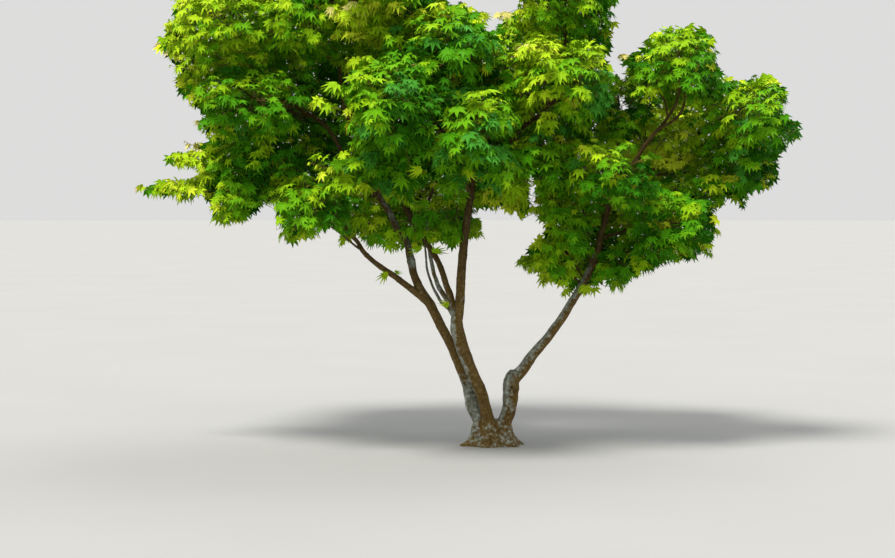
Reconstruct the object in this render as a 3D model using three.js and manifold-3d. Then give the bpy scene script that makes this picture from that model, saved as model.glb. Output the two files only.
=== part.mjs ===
// A young Japanese maple with several stems, about 1.6 m high and 2 m across.
// Millimetres, +Z up. The ground is the plane z = 0, and the origin is in the
// middle of the flat cut under the root crown. +X is to the viewer's right and
// +Y away from the viewer.
//
// Three stems leave one low root crown. The left and middle stems lean to the
// left side by side, and the right stem leaves the crown upright, kinks at an
// old pruning cut and leans out to the right. They fork into boughs, and the
// boughs end where they enter the masses of leaves.
import * as THREE from 'three';
import { mergeVertices } from 'three/addons/utils/BufferGeometryUtils.js';
import Module from 'manifold-3d';

const wasm = await Module();
wasm.setup();

// ---- driving sizes -------------------------------------------------------
const WOOD_GAP = 0.4; // clearance where one limb meets another
const LEAF_GAP = 1.2; // clearance where a limb meets a mass of leaves
const MASS_GAP = 3; // clearance between neighbouring masses
const THICK = 9; // limbs over this radius get more sides
const SIDES = { thick: 8, thin: 6 };
const OUT_OF_ROUND = 0.05; // how far a limb's section is from a circle
const LUMPS = { 1: 7, 2: 14, 3: 20 }; // bulges on a mass, by the fineness of its faces
const LUMP_HEIGHT = [-0.14, 0.3]; // of a bulge, as a share of the mass's radius
const LUMP_WIDTH = [0.025, 0.07];

// The root crown: height above ground, centre x and y, half width and half
// depth of each ring. Buttresses stand out from it, most at the ground.
const ROOT_CROWN = {
  rings: [
    [0, 2, 2, 92, 70],
    [10, 2, 2, 82, 60],
    [24, 1, 2, 73, 51],
    [42, 0, 2, 66, 44],
    [60, 0, 2, 62, 40],
    [72, 1, 2, 55, 34],
    [79, 1, 2, 38, 22],
  ],
  buttresses: [0.35, 1.5, 2.55, 3.5, 4.5, 5.5], // directions, in radians
  stand: 0.2, // how far a buttress stands out at the ground
  sides: 18,
};

// Each limb: control points x, y, z and the radius there.
const LIMBS = {
  stem_left: [[-14, 6, 33, 22], [-35, 14, 74, 21.5], [-56, 21, 116, 20.6], [-67, 26, 165, 19.2], [-83, 29, 210, 17.8], [-105, 31, 261, 16], [-128, 34, 309, 14.8], [-153, 34, 357, 14.2], [-178, 33, 408, 14.6], [-208, 33, 455, 13.5]],
  bough_left_upright: [[-207, 35, 455, 12.6], [-218, 37, 474, 12.8], [-229, 40, 497, 12.6], [-239, 43, 532, 12.4], [-246, 49, 566, 12.2], [-253, 54, 600, 10], [-268, 61, 629, 9.6], [-290, 67, 656, 9.7], [-306, 74, 693, 9.8], [-329, 80, 728, 9.4], [-349, 86, 758, 8.8], [-375, 90, 789, 8.2]],
  bough_left_low: [[-207, 31, 440, 11.2], [-232, 27, 461, 10.2], [-263, 16, 485, 9.6], [-291, 2, 507, 9], [-324, -14, 530, 8.4], [-356, -28, 555, 7.8], [-385, -42, 585, 7.2], [-403, -54, 615, 6.6], [-426, -70, 637, 5.4]],
  stem_middle: [[6, -6, 34, 19], [-8, -12, 74, 18.4], [-20, -17, 116, 17.8], [-36, -22, 169, 17.6], [-58, -24, 217, 17.8], [-77, -24, 265, 18.6], [-93, -22, 307, 19.6], [-103, -21, 345, 20], [-105, -19, 380, 18.4], [-100, -18, 404, 15.8]],
  bough_middle_upright: [[-99, -21, 385, 13.2], [-97, -23, 412, 13.2], [-96, -25, 440, 14.2], [-93, -26, 483, 13.4], [-91, -27, 531, 13.4], [-85, -30, 600, 13], [-77, -33, 663, 12], [-69, -36, 716, 11.2], [-62, -40, 767, 10.4], [-58, -44, 809, 10]],
  bough_middle_left: [[-112, -12, 392, 11], [-122, -4, 440, 10.6], [-136, 5, 479, 9.8], [-152, 18, 527, 9.2], [-185, 41, 590, 8.8], [-210, 53, 627, 8.4], [-238, 66, 667, 7.6], [-265, 80, 717, 6.6]],
  bough_pale: [[-116, 6, 395, 9.6], [-130, 18, 427, 8.8], [-150, 32, 459, 7.6], [-165, 44, 487, 6.9], [-174, 50, 511, 6.4], [-179, 56, 540, 6.2], [-187, 66, 577, 6], [-194, 80, 616, 5.6], [-197, 100, 670, 5.2], [-196, 124, 737, 5]],
  bough_slender: [[-128, 20, 409, 6.6], [-148, 30, 425, 5.6], [-166, 45, 452, 4.9], [-179, 57, 477, 4.6], [-189, 69, 502, 4.3], [-196, 78, 530, 4], [-199, 86, 567, 3.7], [-203, 98, 606, 3.5]],
  stem_right_foot: [[21, -2, 34, 24], [39, -3, 73, 22], [52, -4, 112, 21.5], [56, -4, 145, 23], [57, -3, 179, 24], [62, -2, 203, 22], [71, 0, 217, 18]],
  stem_right: [[62, -2, 194, 18], [79, 0, 214, 17.8], [97, 1, 234, 16.8], [131, 4, 281, 15], [172, 7, 329, 14.2], [223, 8, 401, 12.8], [240, 9, 429, 12.4], [260, 10, 464, 11.8], [281, 10, 500, 11.2], [297, 10, 533, 10.8], [321, 6, 593, 9.8]],
  bough_left_reach: [[-429, 70, 822, 8], [-443, 60, 858, 7.6], [-470, 46, 912, 7.2], [-497, 30, 954, 6.8], [-543, 14, 989, 6.2], [-575, 2, 1004, 5.8], [-604, -10, 1030, 5.2], [-627, -20, 1059, 4.6]],
  bough_left_upper: [[-405, 80, 919, 7], [-423, 76, 967, 6.8], [-441, 72, 1003, 6.4], [-454, 68, 1039, 5.8], [-458, 64, 1084, 5.2], [-458, 60, 1141, 4.6]],
  bough_right_upper: [[360, 0, 755, 9], [388, -16, 794, 8.6], [416, -34, 833, 8.2], [442, -50, 873, 7.8], [464, -62, 912, 7.2], [484, -70, 942, 6.6], [501, -72, 962, 5.4], [519, -72, 992, 5], [537, -70, 1021, 4.6], [546, -68, 1051, 4]],
  bough_right_fork: [[475, -68, 930, 5.6], [498, -78, 949, 5.2], [525, -86, 963, 4.8], [547, -92, 987, 4.4], [559, -96, 1017, 4], [563, -98, 1050, 3.6]],
};

// The stub left by the old cut, on the kink of the right stem.
const STUB = [[58, -3, 170, 17], [53, -4, 192, 15], [46, -5, 211, 11.5]];

// Each mass of leaves: its middle, its half width, its height above and below
// the middle, its half depth, and how finely it is faceted.
const MASSES = [
  { name: "leaves_left_top", at: [-779, 40, 1236], side: 193, rise: 169, drop: 157, deep: 330, detail: 3, seed: 4 },
  { name: "leaves_left_crest", at: [-538, 0, 1293], side: 174, rise: 150, drop: 150, deep: 350, detail: 2, seed: 5 },
  { name: "leaves_left_middle", at: [-684, -60, 1010], side: 190, rise: 95, drop: 95, deep: 310, detail: 3, seed: 6 },
  { name: "leaves_left_tier", at: [-712, 20, 821], side: 181, rise: 102, drop: 99, deep: 310, detail: 2, seed: 7 },
  { name: "leaves_left_tip", at: [-990, 50, 770], side: 127, rise: 24, drop: 27, deep: 80, detail: 2, seed: 8 },
  { name: "leaves_left_spray", at: [-910, 20, 866], side: 90, rise: 33, drop: 36, deep: 90, detail: 1, seed: 9 },
  { name: "leaves_left_hanging", at: [-772, -50, 720], side: 74, rise: 60, drop: 68, deep: 160, detail: 2, seed: 10 },
  { name: "leaves_left_inner", at: [-531, -140, 708], side: 120, rise: 88, drop: 97, deep: 240, detail: 2, seed: 11 },
  { name: "leaves_left_back", at: [-652, 420, 896], side: 192, rise: 176, drop: 160, deep: 270, detail: 2, seed: 12 },
  { name: "leaves_left_back_top", at: [-658, 470, 1198], side: 219, rise: 183, drop: 180, deep: 250, detail: 2, seed: 13 },
  { name: "leaves_middle_top", at: [-315, -60, 1370], side: 184, rise: 172, drop: 178, deep: 380, detail: 3, seed: 14 },
  { name: "leaves_middle_shoulder", at: [-144, -240, 1129], side: 156, rise: 156, drop: 144, deep: 330, detail: 3, seed: 15 },
  { name: "leaves_middle_front", at: [-289, -400, 985], side: 152, rise: 141, drop: 124, deep: 280, detail: 3, seed: 16 },
  { name: "leaves_middle_low", at: [-76, -360, 902], side: 153, rise: 125, drop: 119, deep: 290, detail: 2, seed: 17 },
  { name: "leaves_middle_skirt", at: [-310, -280, 824], side: 138, rise: 92, drop: 75, deep: 240, detail: 2, seed: 18 },
  { name: "leaves_middle_under", at: [-337, 220, 675], side: 149, rise: 105, drop: 84, deep: 170, detail: 2, seed: 19 },
  { name: "leaves_middle_behind", at: [-157, 270, 677], side: 131, rise: 106, drop: 87, deep: 200, detail: 2, seed: 20 },
  { name: "leaves_middle_back", at: [-241, 500, 1007], side: 239, rise: 239, drop: 213, deep: 280, detail: 2, seed: 21 },
  { name: "leaves_middle_back_top", at: [-254, 500, 1360], side: 200, rise: 181, drop: 194, deep: 260, detail: 2, seed: 22 },
  { name: "leaves_centre_top", at: [204, 20, 1324], side: 159, rise: 138, drop: 144, deep: 330, detail: 3, seed: 23 },
  { name: "leaves_centre_middle", at: [187, -140, 1068], side: 167, rise: 147, drop: 135, deep: 330, detail: 3, seed: 24 },
  { name: "leaves_centre_low", at: [128, -80, 844], side: 142, rise: 124, drop: 124, deep: 280, detail: 2, seed: 25 },
  { name: "leaves_centre_back", at: [146, 450, 1082], side: 199, rise: 205, drop: 225, deep: 260, detail: 2, seed: 26 },
  { name: "leaves_right_link", at: [388, 140, 1024], side: 104, rise: 92, drop: 104, deep: 200, detail: 2, seed: 37 },
  { name: "leaves_right_top", at: [538, -60, 1131], side: 149, rise: 110, drop: 98, deep: 270, detail: 2, seed: 27 },
  { name: "leaves_right_outer", at: [766, 0, 968], side: 153, rise: 126, drop: 114, deep: 270, detail: 3, seed: 28 },
  { name: "leaves_right_outer_low", at: [739, 60, 828], side: 127, rise: 103, drop: 106, deep: 240, detail: 2, seed: 29 },
  { name: "leaves_right_inner", at: [528, 260, 923], side: 150, rise: 125, drop: 143, deep: 200, detail: 2, seed: 30 },
  { name: "leaves_right_front", at: [347, -240, 801], side: 127, rise: 110, drop: 98, deep: 220, detail: 2, seed: 31 },
  { name: "leaves_right_low", at: [522, 0, 671], side: 150, rise: 120, drop: 126, deep: 270, detail: 2, seed: 32 },
  { name: "leaves_right_skirt", at: [229, 20, 671], side: 129, rise: 114, drop: 114, deep: 250, detail: 2, seed: 33 },
  { name: "leaves_right_under", at: [172, 20, 551], side: 93, rise: 78, drop: 81, deep: 190, detail: 2, seed: 34 },
  { name: "leaves_right_bottom", at: [379, 50, 532], side: 103, rise: 73, drop: 73, deep: 200, detail: 2, seed: 35 },
  { name: "leaves_right_back", at: [483, 450, 864], side: 186, rise: 167, drop: 192, deep: 220, detail: 2, seed: 36 },
];

// ---- helpers -------------------------------------------------------------
function seeded(seed) {
  let a = (seed * 2654435761) >>> 0;
  return () => {
    a = (a + 0x6d2b79f5) >>> 0;
    let t = a;
    t = Math.imul(t ^ (t >>> 15), t | 1);
    t ^= t + Math.imul(t ^ (t >>> 7), t | 61);
    return ((t ^ (t >>> 14)) >>> 0) / 4294967296;
  };
}

function solidOf(geometry) {
  let g = geometry.clone();
  g.deleteAttribute('normal');
  g.deleteAttribute('uv');
  g = mergeVertices(g, 1e-4);
  return new wasm.Manifold(
    new wasm.Mesh({
      numProp: 3,
      vertProperties: new Float32Array(g.attributes.position.array),
      triVerts: new Uint32Array(g.index.array),
    }),
  );
}

function geometryOf(solid) {
  const m = solid.getMesh();
  const g = new THREE.BufferGeometry();
  g.setAttribute('position', new THREE.BufferAttribute(new Float32Array(m.vertProperties), 3));
  g.setIndex(new THREE.BufferAttribute(new Uint32Array(m.triVerts), 1));
  return g;
}

// A closed skin over a stack of rings that all have the same number of points.
function skin(rings) {
  const n = rings[0].length;
  const points = rings.flat();
  const first = points.push(mean(rings[0])) - 1;
  const last = points.push(mean(rings[rings.length - 1])) - 1;
  const index = [];
  for (let i = 0; i + 1 < rings.length; i++) {
    for (let j = 0; j < n; j++) {
      const a = i * n + j;
      const b = i * n + ((j + 1) % n);
      index.push(a, b, b + n, a, b + n, a + n);
    }
  }
  const top = (rings.length - 1) * n;
  for (let j = 0; j < n; j++) {
    index.push(first, (j + 1) % n, j);
    index.push(last, top + j, top + ((j + 1) % n));
  }
  const g = new THREE.BufferGeometry();
  g.setAttribute('position', new THREE.Float32BufferAttribute(points.flatMap((p) => [p.x, p.y, p.z]), 3));
  g.setIndex(index);
  return g;
}

function mean(points) {
  const m = new THREE.Vector3();
  for (const p of points) m.add(p);
  return m.divideScalar(points.length);
}

// One tapering limb along a smooth curve, with a turned, slightly uneven
// section. grow widens it, for cutting its neighbours.
function limb(rows, grow = 0) {
  const curve = new THREE.CatmullRomCurve3(rows.map((r) => new THREE.Vector3(r[0], r[1], r[2])), false, 'centripetal');
  const sides = rows[0][3] > THICK ? SIDES.thick : SIDES.thin;
  const rings = [];
  let across = new THREE.Vector3(0, -1, 0);
  const count = rows.length;
  for (let i = 0; i < count; i++) {
    const t = i / (count - 1);
    const middle = curve.getPoint(t);
    const along = curve.getTangent(t);
    across = across.clone().addScaledVector(along, -across.dot(along)).normalize();
    const side = new THREE.Vector3().crossVectors(along, across);
    if (grow && (i === 0 || i === count - 1)) middle.addScaledVector(along, i ? grow : -grow);
    const ring = [];
    for (let j = 0; j < sides; j++) {
      const angle = (j / sides) * Math.PI * 2;
      const r = rows[i][3] * (1 + OUT_OF_ROUND * Math.sin(3 * angle + i * 0.9)) + grow;
      ring.push(
        middle
          .clone()
          .addScaledVector(across, Math.cos(angle) * r)
          .addScaledVector(side, Math.sin(angle) * r),
      );
    }
    rings.push(ring);
  }
  return skin(rings);
}

function rootCrown(grow = 0) {
  const { rings, buttresses, stand, sides } = ROOT_CROWN;
  const top = rings[rings.length - 1][0];
  return skin(
    rings.map(([z, x, y, wide, deep]) => {
      const ring = [];
      for (let j = 0; j < sides; j++) {
        const angle = (j / sides) * Math.PI * 2;
        let out = 1 - stand * 0.4 * (1 - z / top);
        for (const b of buttresses) {
          const off = Math.atan2(Math.sin(angle - b), Math.cos(angle - b));
          out += stand * (1 - z / top) ** 2 * Math.exp(-((off / 0.26) ** 2));
        }
        ring.push(
          new THREE.Vector3(
            x + Math.cos(angle) * (wide * out + grow),
            y + Math.sin(angle) * (deep * out + grow),
            z === top ? z + grow : z,
          ),
        );
      }
      return ring;
    }),
  );
}

// How far a mass reaches from its middle in a direction, before its neighbours
// press on it.
function reach(mass, d) {
  const up = d.z > 0 ? mass.rise : mass.drop;
  const r = 1 / Math.hypot(d.x / mass.side, d.y / mass.deep, d.z / up);
  let lumps = 1;
  for (const l of mass.lumps) lumps += l.height * Math.exp(-(1 - d.dot(l.to)) / l.width);
  return r * lumps;
}

function addLumps(mass) {
  const random = seeded(mass.seed);
  mass.middle = new THREE.Vector3(...mass.at);
  mass.lumps = [];
  const count = LUMPS[mass.detail];
  for (let i = 0; i < count; i++) {
    // spread evenly over the ball, then shaken
    const z = 1 - (2 * (i + 0.5)) / count + (random() - 0.5) * 0.2;
    const turn = i * 2.39996 + mass.seed + (random() - 0.5) * 0.7;
    const flat = Math.sqrt(Math.max(0, 1 - z * z));
    mass.lumps.push({
      to: new THREE.Vector3(Math.cos(turn) * flat, Math.sin(turn) * flat, z).normalize(),
      height: THREE.MathUtils.lerp(...LUMP_HEIGHT, random()),
      width: THREE.MathUtils.lerp(...LUMP_WIDTH, random()),
    });
  }
}

// Where two masses press on each other, a flat face midway keeps them apart.
function walls(mass, masses) {
  const found = [];
  for (const other of masses) {
    if (other === mass) continue;
    const to = other.middle.clone().sub(mass.middle);
    const apart = to.length();
    to.divideScalar(apart);
    const mine = 1 / Math.hypot(to.x / mass.side, to.y / mass.deep, to.z / (to.z > 0 ? mass.rise : mass.drop));
    const theirs = 1 / Math.hypot(to.x / other.side, to.y / other.deep, to.z / (to.z > 0 ? other.drop : other.rise));
    found.push({ to, at: (apart * mine) / (mine + theirs) - MASS_GAP / 2 });
  }
  return found;
}

function leafMass(mass, grow = 0) {
  let g = new THREE.IcosahedronGeometry(1, mass.detail);
  g.deleteAttribute('normal');
  g.deleteAttribute('uv');
  g = mergeVertices(g, 1e-4);
  const p = g.attributes.position;
  const d = new THREE.Vector3();
  for (let i = 0; i < p.count; i++) {
    d.fromBufferAttribute(p, i).normalize();
    let r = reach(mass, d);
    for (const w of mass.walls) {
      const lean = w.to.dot(d);
      if (lean > 0.02) r = Math.min(r, w.at / lean);
    }
    d.multiplyScalar(r + grow).add(mass.middle);
    p.setXYZ(i, d.x, d.y, d.z);
  }
  return g;
}

function largest(solid) {
  const pieces = solid.decompose();
  pieces.sort((a, b) => b.volume() - a.volume());
  return pieces[0];
}

// ---- materials -----------------------------------------------------------
const bark = (colour) => new THREE.MeshStandardMaterial({ color: colour, roughness: 0.85, metalness: 0 });
const leaves = (colour) => new THREE.MeshStandardMaterial({ color: colour, roughness: 0.6, metalness: 0 });
const BARK_BROWN = 0x5a4328;
const BARK_GREY = 0x6b7163;
const LEAF_GREENS = [0x2f7a1a, 0x47811b, 0x5c9a1c, 0x83a81a];

// ---- assembly ------------------------------------------------------------
const tree = new THREE.Group();

function add(name, geometry, material) {
  const mesh = new THREE.Mesh(geometry, material);
  mesh.name = name;
  tree.add(mesh);
}

for (const mass of MASSES) addLumps(mass);
for (const mass of MASSES) mass.walls = walls(mass, MASSES);
const masses = MASSES.map((mass) => ({ mass, grown: solidOf(leafMass(mass, LEAF_GAP * 2)) }));

add('root_crown', rootCrown(), bark(BARK_GREY));
const cutters = [solidOf(rootCrown(WOOD_GAP))];

for (const [name, rows] of Object.entries(LIMBS)) {
  let solid = solidOf(limb(rows));
  let grown = solidOf(limb(rows, WOOD_GAP));
  if (name === 'stem_right_foot') {
    solid = solid.add(solidOf(limb(STUB)));
    grown = grown.add(solidOf(limb(STUB, WOOD_GAP)));
  }
  for (const cutter of cutters) solid = solid.subtract(cutter);
  for (const { grown: leaf } of masses) solid = solid.subtract(leaf);
  cutters.push(grown);
  add(name, geometryOf(largest(solid)), bark(name.startsWith('stem_right') || name === 'bough_pale' ? BARK_GREY : BARK_BROWN));
}

MASSES.forEach((mass, i) => add(mass.name, leafMass(mass), leaves(LEAF_GREENS[i % LEAF_GREENS.length])));

export default tree;
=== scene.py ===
# A young Japanese maple with several stems, in fresh spring leaf. Metres, +Z up,
# the ground is z = 0 and the origin is in the middle of the cut under the root
# crown. +X is to the viewer's right and +Y away from the viewer.
#
# The limbs that show are laid along the frame's own. Boughs, branches and twigs
# then grow on from them by a seeded rule until every part of the leaf masses has
# its sprays. Each spray is a shoot with opposite leaves on stalks.
import math

import bmesh
import bpy
import numpy as np
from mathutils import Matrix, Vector
from mathutils.bvhtree import BVHTree
from mathutils.kdtree import KDTree
from mathutils import noise as mnoise


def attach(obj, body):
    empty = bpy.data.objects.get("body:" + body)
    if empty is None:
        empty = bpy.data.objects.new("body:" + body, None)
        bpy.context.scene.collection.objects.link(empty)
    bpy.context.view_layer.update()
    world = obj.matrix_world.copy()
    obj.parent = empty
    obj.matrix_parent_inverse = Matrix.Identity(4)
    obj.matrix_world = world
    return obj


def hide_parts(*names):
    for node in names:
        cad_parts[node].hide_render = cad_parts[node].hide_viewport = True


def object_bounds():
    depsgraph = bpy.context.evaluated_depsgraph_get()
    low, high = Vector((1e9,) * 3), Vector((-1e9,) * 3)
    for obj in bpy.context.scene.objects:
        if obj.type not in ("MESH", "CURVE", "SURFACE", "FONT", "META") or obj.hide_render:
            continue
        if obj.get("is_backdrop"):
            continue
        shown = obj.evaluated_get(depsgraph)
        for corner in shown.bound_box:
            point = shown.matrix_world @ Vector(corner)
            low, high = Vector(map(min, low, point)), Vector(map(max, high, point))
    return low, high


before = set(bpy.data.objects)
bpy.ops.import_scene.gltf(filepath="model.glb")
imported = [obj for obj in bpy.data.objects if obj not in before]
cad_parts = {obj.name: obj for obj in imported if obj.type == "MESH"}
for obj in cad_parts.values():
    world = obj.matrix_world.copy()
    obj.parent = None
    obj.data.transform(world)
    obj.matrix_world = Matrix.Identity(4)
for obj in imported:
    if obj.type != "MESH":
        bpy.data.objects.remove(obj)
cad_lo, cad_hi = (np.array(v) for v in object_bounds())

SEED = 71
rng = np.random.default_rng(SEED)
UP = np.array([0.0, 0.0, 1.0])

# ---------------------------------------------------------------- camera
EYE = np.array([-0.1335, -6.5, 0.75])
TILT = math.radians(2.2)  # down from level
FOCAL_PX = 2167.0  # focal length in pixels of an image 895 wide
IMAGE = (895, 558)

cam = bpy.data.cameras.new("camera")
cam.sensor_width = 36.0
cam.lens = FOCAL_PX / IMAGE[0] * 36.0
cam.clip_start, cam.clip_end = 0.1, 200.0
camera = bpy.data.objects.new("camera", cam)
camera.location = EYE
camera.rotation_euler = (math.radians(90) - TILT, 0.0, 0.0)
bpy.context.scene.collection.objects.link(camera)
bpy.context.scene.camera = camera


def at_pixel(u, v, y):
    """The point at depth y that the camera sees at pixel u, v."""
    x, up = (u - IMAGE[0] / 2) / FOCAL_PX, -(v - IMAGE[1] / 2) / FOCAL_PX
    c, s = math.cos(TILT), math.sin(TILT)
    d = np.array([x, c + up * s, -s + up * c])
    return EYE + d * ((y - EYE[1]) / d[1])


def pixel_of(points):
    c, s = math.cos(TILT), math.sin(TILT)
    q = np.asarray(points, float) - EYE
    ahead, up = q[..., 1] * c - q[..., 2] * s, q[..., 1] * s + q[..., 2] * c
    return np.stack([IMAGE[0] / 2 + FOCAL_PX * q[..., 0] / ahead, IMAGE[1] / 2 - FOCAL_PX * up / ahead], -1)


# ---------------------------------------------------------------- small helpers
def unit(v):
    v = np.asarray(v, float)
    return v / np.maximum(np.linalg.norm(v, axis=-1, keepdims=True), 1e-12)


def smooth_path(rows, step):
    """Points and radii along a smooth curve through rows of x, y, z, radius."""
    rows = np.asarray(rows, float)
    p, r = rows[:, :3], rows[:, 3]
    t = np.concatenate([[0], np.cumsum(np.linalg.norm(np.diff(p, axis=0), axis=1))])
    m = np.gradient(p, t, axis=0)
    count = max(3, int(math.ceil(t[-1] / step)) + 1)
    s = np.linspace(0, t[-1], count)
    k = np.clip(np.searchsorted(t, s, "right") - 1, 0, len(t) - 2)
    h = (t[k + 1] - t[k])[:, None]
    u = (s - t[k])[:, None] / h
    h00, h10 = 2 * u**3 - 3 * u**2 + 1, u**3 - 2 * u**2 + u
    h01, h11 = -2 * u**3 + 3 * u**2, u**3 - u**2
    q = h00 * p[k] + h10 * h * m[k] + h01 * p[k + 1] + h11 * h * m[k + 1]
    return q, np.interp(s, t, r)


def hermite(p0, m0, p1, m1, count):
    u = np.linspace(0, 1, count)[:, None]
    return (
        (2 * u**3 - 3 * u**2 + 1) * p0
        + (u**3 - 2 * u**2 + u) * m0
        + (-2 * u**3 + 3 * u**2) * p1
        + (u**3 - u**2) * m1
    )


def frames_along(points):
    """Unit tangents and two unit normals that turn as little as they can."""
    n = len(points)
    tangent = unit(np.gradient(points, axis=0))
    a = np.zeros((n, 3))
    first = np.array([0.0, -1.0, 0.0])
    if abs(tangent[0] @ first) > 0.95:
        first = np.array([1.0, 0.0, 0.0])
    a[0] = unit(first - (first @ tangent[0]) * tangent[0])
    for i in range(1, n):
        v = a[i - 1] - (a[i - 1] @ tangent[i]) * tangent[i]
        a[i] = unit(v)
    return tangent, a, np.cross(tangent, a)


def new_mesh(name, verts, tris, attributes=None, corner_uv=None, smooth=False):
    mesh = bpy.data.meshes.new(name)
    verts = np.ascontiguousarray(verts, np.float32)
    tris = np.ascontiguousarray(tris, np.int32)
    mesh.vertices.add(len(verts))
    mesh.vertices.foreach_set("co", verts.ravel())
    mesh.loops.add(tris.size)
    mesh.loops.foreach_set("vertex_index", tris.ravel())
    mesh.polygons.add(len(tris))
    mesh.polygons.foreach_set("loop_start", np.arange(0, tris.size, tris.shape[1], dtype=np.int32))
    mesh.polygons.foreach_set("use_smooth", np.full(len(tris), smooth))
    for key, (kind, values) in (attributes or {}).items():
        layer = mesh.attributes.new(key, kind, "POINT")
        values = np.ascontiguousarray(values, np.float32)
        layer.data.foreach_set("vector" if kind == "FLOAT_VECTOR" else "value", values.ravel())
    if corner_uv is not None:
        layer = mesh.uv_layers.new(name="leaf")
        layer.data.foreach_set("uv", np.ascontiguousarray(corner_uv, np.float32).ravel())
    mesh.update(calc_edges=True)
    mesh.validate(clean_customdata=False)
    ob = bpy.data.objects.new(name, mesh)
    bpy.context.scene.collection.objects.link(ob)
    return ob


def tube(points, radii, sides, closed_start=True, closed_end=True, swell=None):
    """Vertices, triangles, grain coordinates of a tube along points."""
    tangent, a, b = frames_along(points)
    n = len(points)
    angle = np.arange(sides) / sides * 2 * math.pi
    ca, sa = np.cos(angle), np.sin(angle)
    r = np.repeat(radii[:, None], sides, 1)
    if swell is not None:
        r = r * swell(n, angle)
    ring = points[:, None, :] + r[..., None] * (ca[None, :, None] * a[:, None, :] + sa[None, :, None] * b[:, None, :])
    verts = ring.reshape(-1, 3)
    along = np.concatenate([[0], np.cumsum(np.linalg.norm(np.diff(points, axis=0), axis=1))])
    grain = np.stack([np.tile(ca, n), np.tile(sa, n), np.repeat(along, sides)], 1)
    i = np.arange(n - 1)[:, None] * sides
    j = np.arange(sides)[None, :]
    k = (j + 1) % sides
    q = np.stack([i + j, i + k, i + k + sides, i + j, i + k + sides, i + j + sides], -1).reshape(-1, 3)
    extra_v, extra_t, extra_g = [], [], []
    total = len(verts)
    jj = np.arange(sides)
    if closed_start:
        extra_v.append(points[0])
        extra_g.append([0, 0, 0])
        extra_t.append(np.stack([np.full(sides, total), (jj + 1) % sides, jj], 1))
        total += 1
    if closed_end:
        extra_v.append(points[-1] + tangent[-1] * radii[-1] * 0.6)
        extra_g.append([0, 0, along[-1]])
        top = (n - 1) * sides
        extra_t.append(np.stack([np.full(sides, total), top + jj, top + (jj + 1) % sides], 1))
        total += 1
    if extra_v:
        verts = np.concatenate([verts, np.array(extra_v)])
        grain = np.concatenate([grain, np.array(extra_g)])
        q = np.concatenate([q] + extra_t)
    return verts, q, grain


class Pile:
    """Many small meshes gathered into one."""

    def __init__(self):
        self.v, self.t, self.extra, self.n = [], [], {}, 0

    def add(self, verts, tris, **extra):
        self.v.append(verts)
        self.t.append(tris + self.n)
        for k, x in extra.items():
            self.extra.setdefault(k, []).append(x)
        self.n += len(verts)

    def joined(self):
        return np.concatenate(self.v), np.concatenate(self.t), {k: np.concatenate(x) for k, x in self.extra.items()}


def noise_at(points, scale, offset=0.0, octaves=2):
    """Smooth noise of about -1 to 1 at each point."""
    out = np.empty(len(points))
    shift = Vector((offset, offset * 0.37, -offset * 0.71))
    for i, p in enumerate(points * scale):
        v = Vector(p) + shift
        x = mnoise.noise(v)
        if octaves > 1:
            x += 0.5 * mnoise.noise(v * 2.1)
        if octaves > 2:
            x += 0.25 * mnoise.noise(v * 4.3)
        out[i] = x
    return out


# ---------------------------------------------------------------- the limbs that show
# Control points x, y, z and the radius there, in millimetres.
STEM_LEFT = [[-14, 6, 33, 22], [-35, 14, 74, 21.5], [-56, 21, 114, 20.6], [-67, 26, 165, 19.2], [-74, 28, 189, 18.4], [-84, 29, 213, 17.6], [-95, 30, 237, 16.8], [-105, 31, 261, 16], [-116, 33, 285, 15.4], [-128, 34, 309, 14.8], [-140, 34, 333, 14.4], [-153, 34, 357, 14], [-165, 34, 382, 14], [-176, 34, 403, 14.4], [-187, 33, 424, 14.6], [-206, 32, 452, 12.6]]
BOUGH_LEFT_UPRIGHT = [[-196, 33, 440, 12], [-207, 35, 455, 12.6], [-218, 37, 474, 12.8], [-229, 40, 497, 12.6], [-237, 42, 520, 12.4], [-241, 44, 543, 12.5], [-246, 49, 566, 12.2], [-250, 52, 583, 11], [-253, 55, 600, 10], [-261, 59, 619, 9.6], [-270, 62, 631, 9.6], [-282, 65, 645, 9.6], [-292, 68, 661, 9.7], [-301, 72, 682, 9.8], [-312, 76, 704, 9.8], [-329, 80, 728, 9.4], [-343, 85, 751, 9], [-359, 88, 768, 8.6], [-375, 90, 789, 8.2]]
BOUGH_LEFT_LOW = [[-190, 33, 424, 11], [-200, 32, 434, 11.5], [-215, 30, 447, 11], [-232, 27, 461, 10.2], [-246, 23, 472, 9.8], [-263, 16, 485, 9.5], [-291, 2, 507, 9], [-324, -14, 530, 8.4], [-356, -28, 555, 7.8], [-385, -42, 585, 7.2], [-403, -54, 615, 6.6], [-426, -70, 637, 5.8]]
STEM_MIDDLE = [[6, -6, 34, 19], [-8, -12, 74, 18.4], [-20, -17, 114, 17.8], [-36, -22, 169, 17.6], [-47, -24, 193, 17.7], [-58, -24, 217, 17.8], [-68, -24, 241, 18.1], [-77, -24, 265, 18.6], [-87, -23, 289, 19.2], [-95, -22, 313, 19.7], [-102, -21, 337, 20.1], [-105, -20, 361, 19.6], [-105, -19, 385, 18], [-100, -18, 404, 15.5]]
BOUGH_MIDDLE_UPRIGHT = [[-103, -20, 360, 13.2], [-99, -21, 385, 13.2], [-97, -23, 412, 13.2], [-96, -25, 440, 14.2], [-94, -26, 483, 13.4], [-91, -27, 531, 13.4], [-85, -30, 600, 13], [-77, -33, 663, 12], [-69, -36, 716, 11.2], [-62, -40, 767, 10.4], [-58, -44, 809, 10]]
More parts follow.
